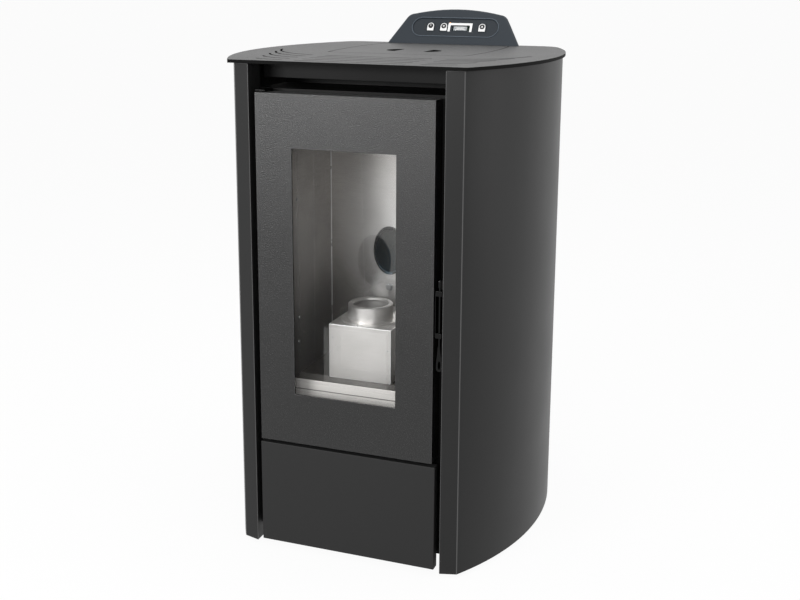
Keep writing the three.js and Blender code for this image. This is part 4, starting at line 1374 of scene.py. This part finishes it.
@dataclass
class Console:
    """The leaning console with its keys and display."""

    shop: Workshop
    lean: float = math.radians(30)
    bezel_centre: float = 34 * MM
    face: float = 0.8 * MM
    print_depth: float = 0.25 * MM
    key_places: dict[Symbol, float] = field(
        default_factory=lambda: {Symbol.POWER: -46 * MM, Symbol.DOWN: -21 * MM, Symbol.UP: 51 * MM}
    )
    display_centre: float = 9.5 * MM
    display_size: tuple[float, float] = (45 * MM, 17 * MM)
    display_bar: float = 4.2 * MM
    text_lines: tuple[tuple[float, float], ...] = ((1.6, 19.0), (-0.8, 15.0), (-3.0, 19.0))
    film: float = 0.3 * MM
    cap_width: float = 12 * MM
    cap_height: float = 15 * MM
    cap_rise: float = 0.8 * MM
    skirt_sink: float = 0.9 * MM

    def __post_init__(self) -> None:
        """Works out where the console's own plane lies."""
        low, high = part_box("console_housing")
        foot = Vector(((low.x + high.x) / 2, low.y, low.z))
        self.place = Matrix.Translation(foot) @ Matrix.Rotation(-self.lean, 4, "X")

    def on_face(self, x: float, z: float, out: float) -> Place:
        """Places an outline on the leaning face.

        Args:
            x: Centre across the face.
            z: Centre up the face, from the bezel's middle.
            out: Depth of the outline's plane into the face.

        Returns:
            A function from outline coordinates and height to a point.
        """
        return lambda a, b, h: self.place @ Vector((x + a, out - h, self.bezel_centre + z + b))

    def build(self) -> None:
        """Dresses the console."""
        self.shop.rounded("console_housing", Body.CASING, "console_plastic", 0.8)
        self.shop.rounded("console_bezel", Body.CASING, "bezel_plastic", 0.5)
        self.shop.coat("display_lens", "heat_glass")
        self.bezel_rim()
        for symbol, x in self.key_places.items():
            self.key(symbol, x)
        self.display()

    def bezel_rim(self) -> None:
        """A thin raised line round the bezel's recess."""
        path = [self.on_face(0, 0, -0.1 * MM)(a, b, 0) for a, b in stadium(163 * MM, 37 * MM, 14)]
        rim = tube_along("bezel_rim", path, 0.8 * MM, 8, closed=True)
        self.shop.seat(rim, Body.CASING, "console_plastic", finish="rim_plastic")
        slit = rectangle(-0.7 * MM, -6 * MM, 0.7 * MM, 6 * MM)
        place = self.on_face(-57 * MM, 0, self.face)
        self.print_on("bezel_slit", slit, self.film, place, "print_black")

    def print_on(
        self,
        name: str,
        outline: Outline,
        depth: float,
        place: Place,
        finish: str,
        body: Body = Body.CASING,
        slot: str = "bezel_plastic",
    ) -> None:
        """Raises a printed mark on the face.

        Args:
            name: The piece's name.
            outline: The mark's outline.
            depth: Its thickness.
            place: Puts the outline on the face.
            finish: The mark's finish.
            body: The body that carries it.
            slot: The record's material slot.
        """
        mark = add_object(name, prism(outline, depth, place))
        self.shop.seat(mark, body, slot, finish=finish)

    def key(self, symbol: Symbol, x: float) -> None:
        """Makes one key with its printed symbol.

        Args:
            symbol: What is printed on it.
            x: Centre across the face.
        """
        name = f"key_{symbol.value}"
        body = Body(name)
        sunk = self.place.to_3x3() @ Vector((0, self.skirt_sink, 0))
        skirt = self.shop.rounded(name, body, "key_plastic", 0.5, finish="bezel_plastic")
        for corner in skirt.data.vertices:
            corner.co += sunk
        half, foot = self.cap_width / 2, -self.cap_height / 2
        centre = self.cap_height / 2 - half
        outline = [(-half, foot), (half, foot)]
        turns = [math.pi * i / 16 for i in range(17)]
        outline += [(half * math.cos(turn), centre + half * math.sin(turn)) for turn in turns]
        cap = prism(outline, 2 * self.cap_rise, self.on_face(x, 0, self.cap_rise))
        soften(cap, 0.3 * MM, angle=60.0)
        self.shop.seat(add_object(f"{name}_cap", cap), body, "key_plastic")
        spot, place = ring_points(4.7 * MM, 28), self.on_face(x, centre, -self.cap_rise)
        self.print_on(
            f"{name}_spot", spot, self.print_depth, place, "print_black", body, "key_plastic"
        )
        if symbol is Symbol.POWER:
            mark = rectangle(-0.5 * MM, -0.6 * MM, 0.5 * MM, 2.6 * MM)
        else:
            way = MM if symbol is Symbol.UP else -MM
            mark = [(-2.1 * MM, -1.2 * way), (2.1 * MM, -1.2 * way), (0.0, 2.1 * way)]
        place = self.on_face(x, centre, -self.cap_rise - self.print_depth)
        depth = self.print_depth * 0.6
        self.print_on(f"{name}_mark", mark, depth, place, "print_white", body, "key_plastic")

    def display(self) -> None:
        """The white bracket round the display, its grey segments and a small lamp."""
        width, height = self.display_size
        bar = self.display_bar
        half, low, top = width / 2, -height / 2, height / 2
        outline = [
            (-half, low),
            (-half + bar, low),
            (-half + bar, top - bar),
            (half - bar, top - bar),
            (half - bar, low),
            (half, low),
            (half, top),
            (-half, top),
        ]
        place = self.on_face(self.display_centre, 0, self.face)
        self.print_on(
            "display_bracket", outline, 0.5 * MM, place, "print_white", slot="key_plastic"
        )
        screen = rectangle(-12.5 * MM, -4 * MM, 12.5 * MM, 4 * MM)
        place = self.on_face(self.display_centre, -0.8 * MM, 2.9 * MM)
        self.print_on("display_screen", screen, self.film, place, "display_grey")
        for row, length in self.text_lines:
            end, line = length / 2 * MM, 0.5 * MM
            text = rectangle(-end, -line, end, line)
            place = self.on_face(self.display_centre, row * MM, 2.6 * MM)
            name = f"display_line_{int(row * 10 + 40)}"
            self.print_on(name, text, 0.2 * MM, place, "display_marks")
        lamp, place = ring_points(1.0 * MM, 16), self.on_face(-10.5 * MM, 9 * MM, self.face)
        self.print_on("status_lamp", lamp, self.film, place, "lamp_orange")


# ------------------------------------------------------------------ studio


def white_rays(tree: bpy.types.NodeTree) -> Socket:
    """Tells the rays that see the studio's white from the rest.

    Args:
        tree: The world's or the floor's node tree.

    Returns:
        1 for camera, transmission and glossy rays, otherwise 0.
    """
    path = tree.nodes.new("ShaderNodeLightPath")
    share = path.outputs["Is Camera Ray"]
    for ray in ("Is Transmission Ray", "Is Glossy Ray"):
        either = tree.nodes.new("ShaderNodeMath")
        either.operation = "MAXIMUM"
        tree.links.new(share, either.inputs[0])
        tree.links.new(path.outputs[ray], either.inputs[1])
        share = either.outputs[0]
    return share


@dataclass
class Studio:
    """Floor, backdrop, lights and camera."""

    camera_at: tuple[float, float, float] = (0.6686, -1.83025, 0.9082)
    yaw_deg: float = 20.41
    pitch_deg: float = 12.775
    roll_deg: float = 0.325
    lens_mm: float = 53.03
    shift_y: float = -0.08
    white: float = 1.0
    soft_light: float = 0.45
    floor_white: float = 0.94
    floor_reach: float = 90.0
    floor_level: float = -0.5 * MM

    def build(self) -> None:
        """Makes the whole studio."""
        scene = bpy.context.scene
        scene.view_settings.view_transform = "Standard"
        self.world()
        self.floor()
        self.lights()
        self.camera()

    def world(self) -> None:
        """A pale surround that cameras and mirrors see as white."""
        world = bpy.data.worlds.new("studio_world")
        world.use_nodes = True
        tree = world.node_tree
        background = tree.nodes["Background"]
        background.inputs["Color"].default_value = (1, 1, 1, 1)
        strength = tree.nodes.new("ShaderNodeMapRange")
        tree.links.new(white_rays(tree), strength.inputs[0])
        strength.inputs[3].default_value = self.soft_light
        strength.inputs[4].default_value = self.white
        tree.links.new(strength.outputs[0], background.inputs["Strength"])
        bpy.context.scene.world = world

    def floor(self) -> None:
        """A large pale floor that keeps a soft shadow."""
        reach = self.floor_reach
        mesh = bmesh.new()
        corners = rectangle(-reach, -reach, reach, reach)
        mesh.faces.new([mesh.verts.new((x, y, self.floor_level)) for x, y in corners])
        floor = add_object("studio_floor", mesh)
        material, shader = start_material("studio_floor_paint")
        tree = material.node_tree
        shader.inputs["Base Color"].default_value = (0.85, 0.85, 0.85, 1)
        shader.inputs["Roughness"].default_value = 0.9
        glow = tree.nodes.new("ShaderNodeEmission")
        glow.inputs["Color"].default_value = (1, 1, 1, 1)
        glow.inputs["Strength"].default_value = self.white
        share = tree.nodes.new("ShaderNodeMath")
        share.operation = "MULTIPLY"
        tree.links.new(white_rays(tree), share.inputs[0])
        share.inputs[1].default_value = self.floor_white
        mix = tree.nodes.new("ShaderNodeMixShader")
        tree.links.new(share.outputs[0], mix.inputs[0])
        tree.links.new(shader.outputs[0], mix.inputs[1])
        tree.links.new(glow.outputs[0], mix.inputs[2])
        tree.links.new(mix.outputs[0], tree.nodes["Material Output"].inputs["Surface"])
        floor.data.materials.append(material)

    def lights(self) -> None:
        """Soft boxes: front left, overhead and far right, and a small one for the window."""
        for name, at, target, size, power in (
            ("key_left", (-1.15, -2.5, 1.05), (0, 0, 0.75), (1.1, 0.6), 44.0),
            ("overhead", (0.2, 0.1, 2.6), (0, 0, 0.6), (1.8, 1.8), 30.0),
            ("rim_right", (2.4, 0.6, 1.0), (0.1, 0, 0.4), (0.5, 2.2), 9.0),
            ("window_fill", (0.35, -1.6, 1.0), (0, -0.1, 0.45), (0.5, 0.5), 6.0),
        ):
            lamp = bpy.data.lights.new(name, "AREA")
            lamp.shape = "RECTANGLE"
            lamp.size, lamp.size_y = size
            lamp.energy = power
            holder = bpy.data.objects.new(name, lamp)
            holder.location = at
            aim = Vector(target) - Vector(at)
            holder.rotation_euler = aim.to_track_quat("-Z", "Y").to_euler()
            bpy.context.scene.collection.objects.link(holder)

    def camera(self) -> None:
        """The camera at the photograph's angle."""
        data = bpy.data.cameras.new("photo_camera")
        data.lens = self.lens_mm
        data.sensor_width = 36.0
        data.shift_y = self.shift_y
        holder = bpy.data.objects.new("photo_camera", data)
        turn = (
            Matrix.Rotation(math.radians(self.yaw_deg), 4, "Z")
            @ Matrix.Rotation(math.radians(90 - self.pitch_deg), 4, "X")
            @ Matrix.Rotation(math.radians(self.roll_deg), 4, "Z")
        )
        holder.matrix_world = Matrix.Translation(Vector(self.camera_at)) @ turn
        bpy.context.scene.collection.objects.link(holder)
        bpy.context.scene.camera = holder


def main() -> None:
    """Builds the sub-assemblies in order, then the studio."""
    logging.basicConfig(level=logging.INFO, format="%(name)s: %(message)s")
    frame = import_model()
    shop = Workshop(frame, Palette())
    for part in (Casing(shop), Door(shop), FireChamber(shop), Feed(shop), Console(shop)):
        part.build()
        LOG.info("built %s", type(part).__name__)
    Studio().build()
    LOG.info("%d pieces", shop.count)


if __name__ == "__main__":
    main()
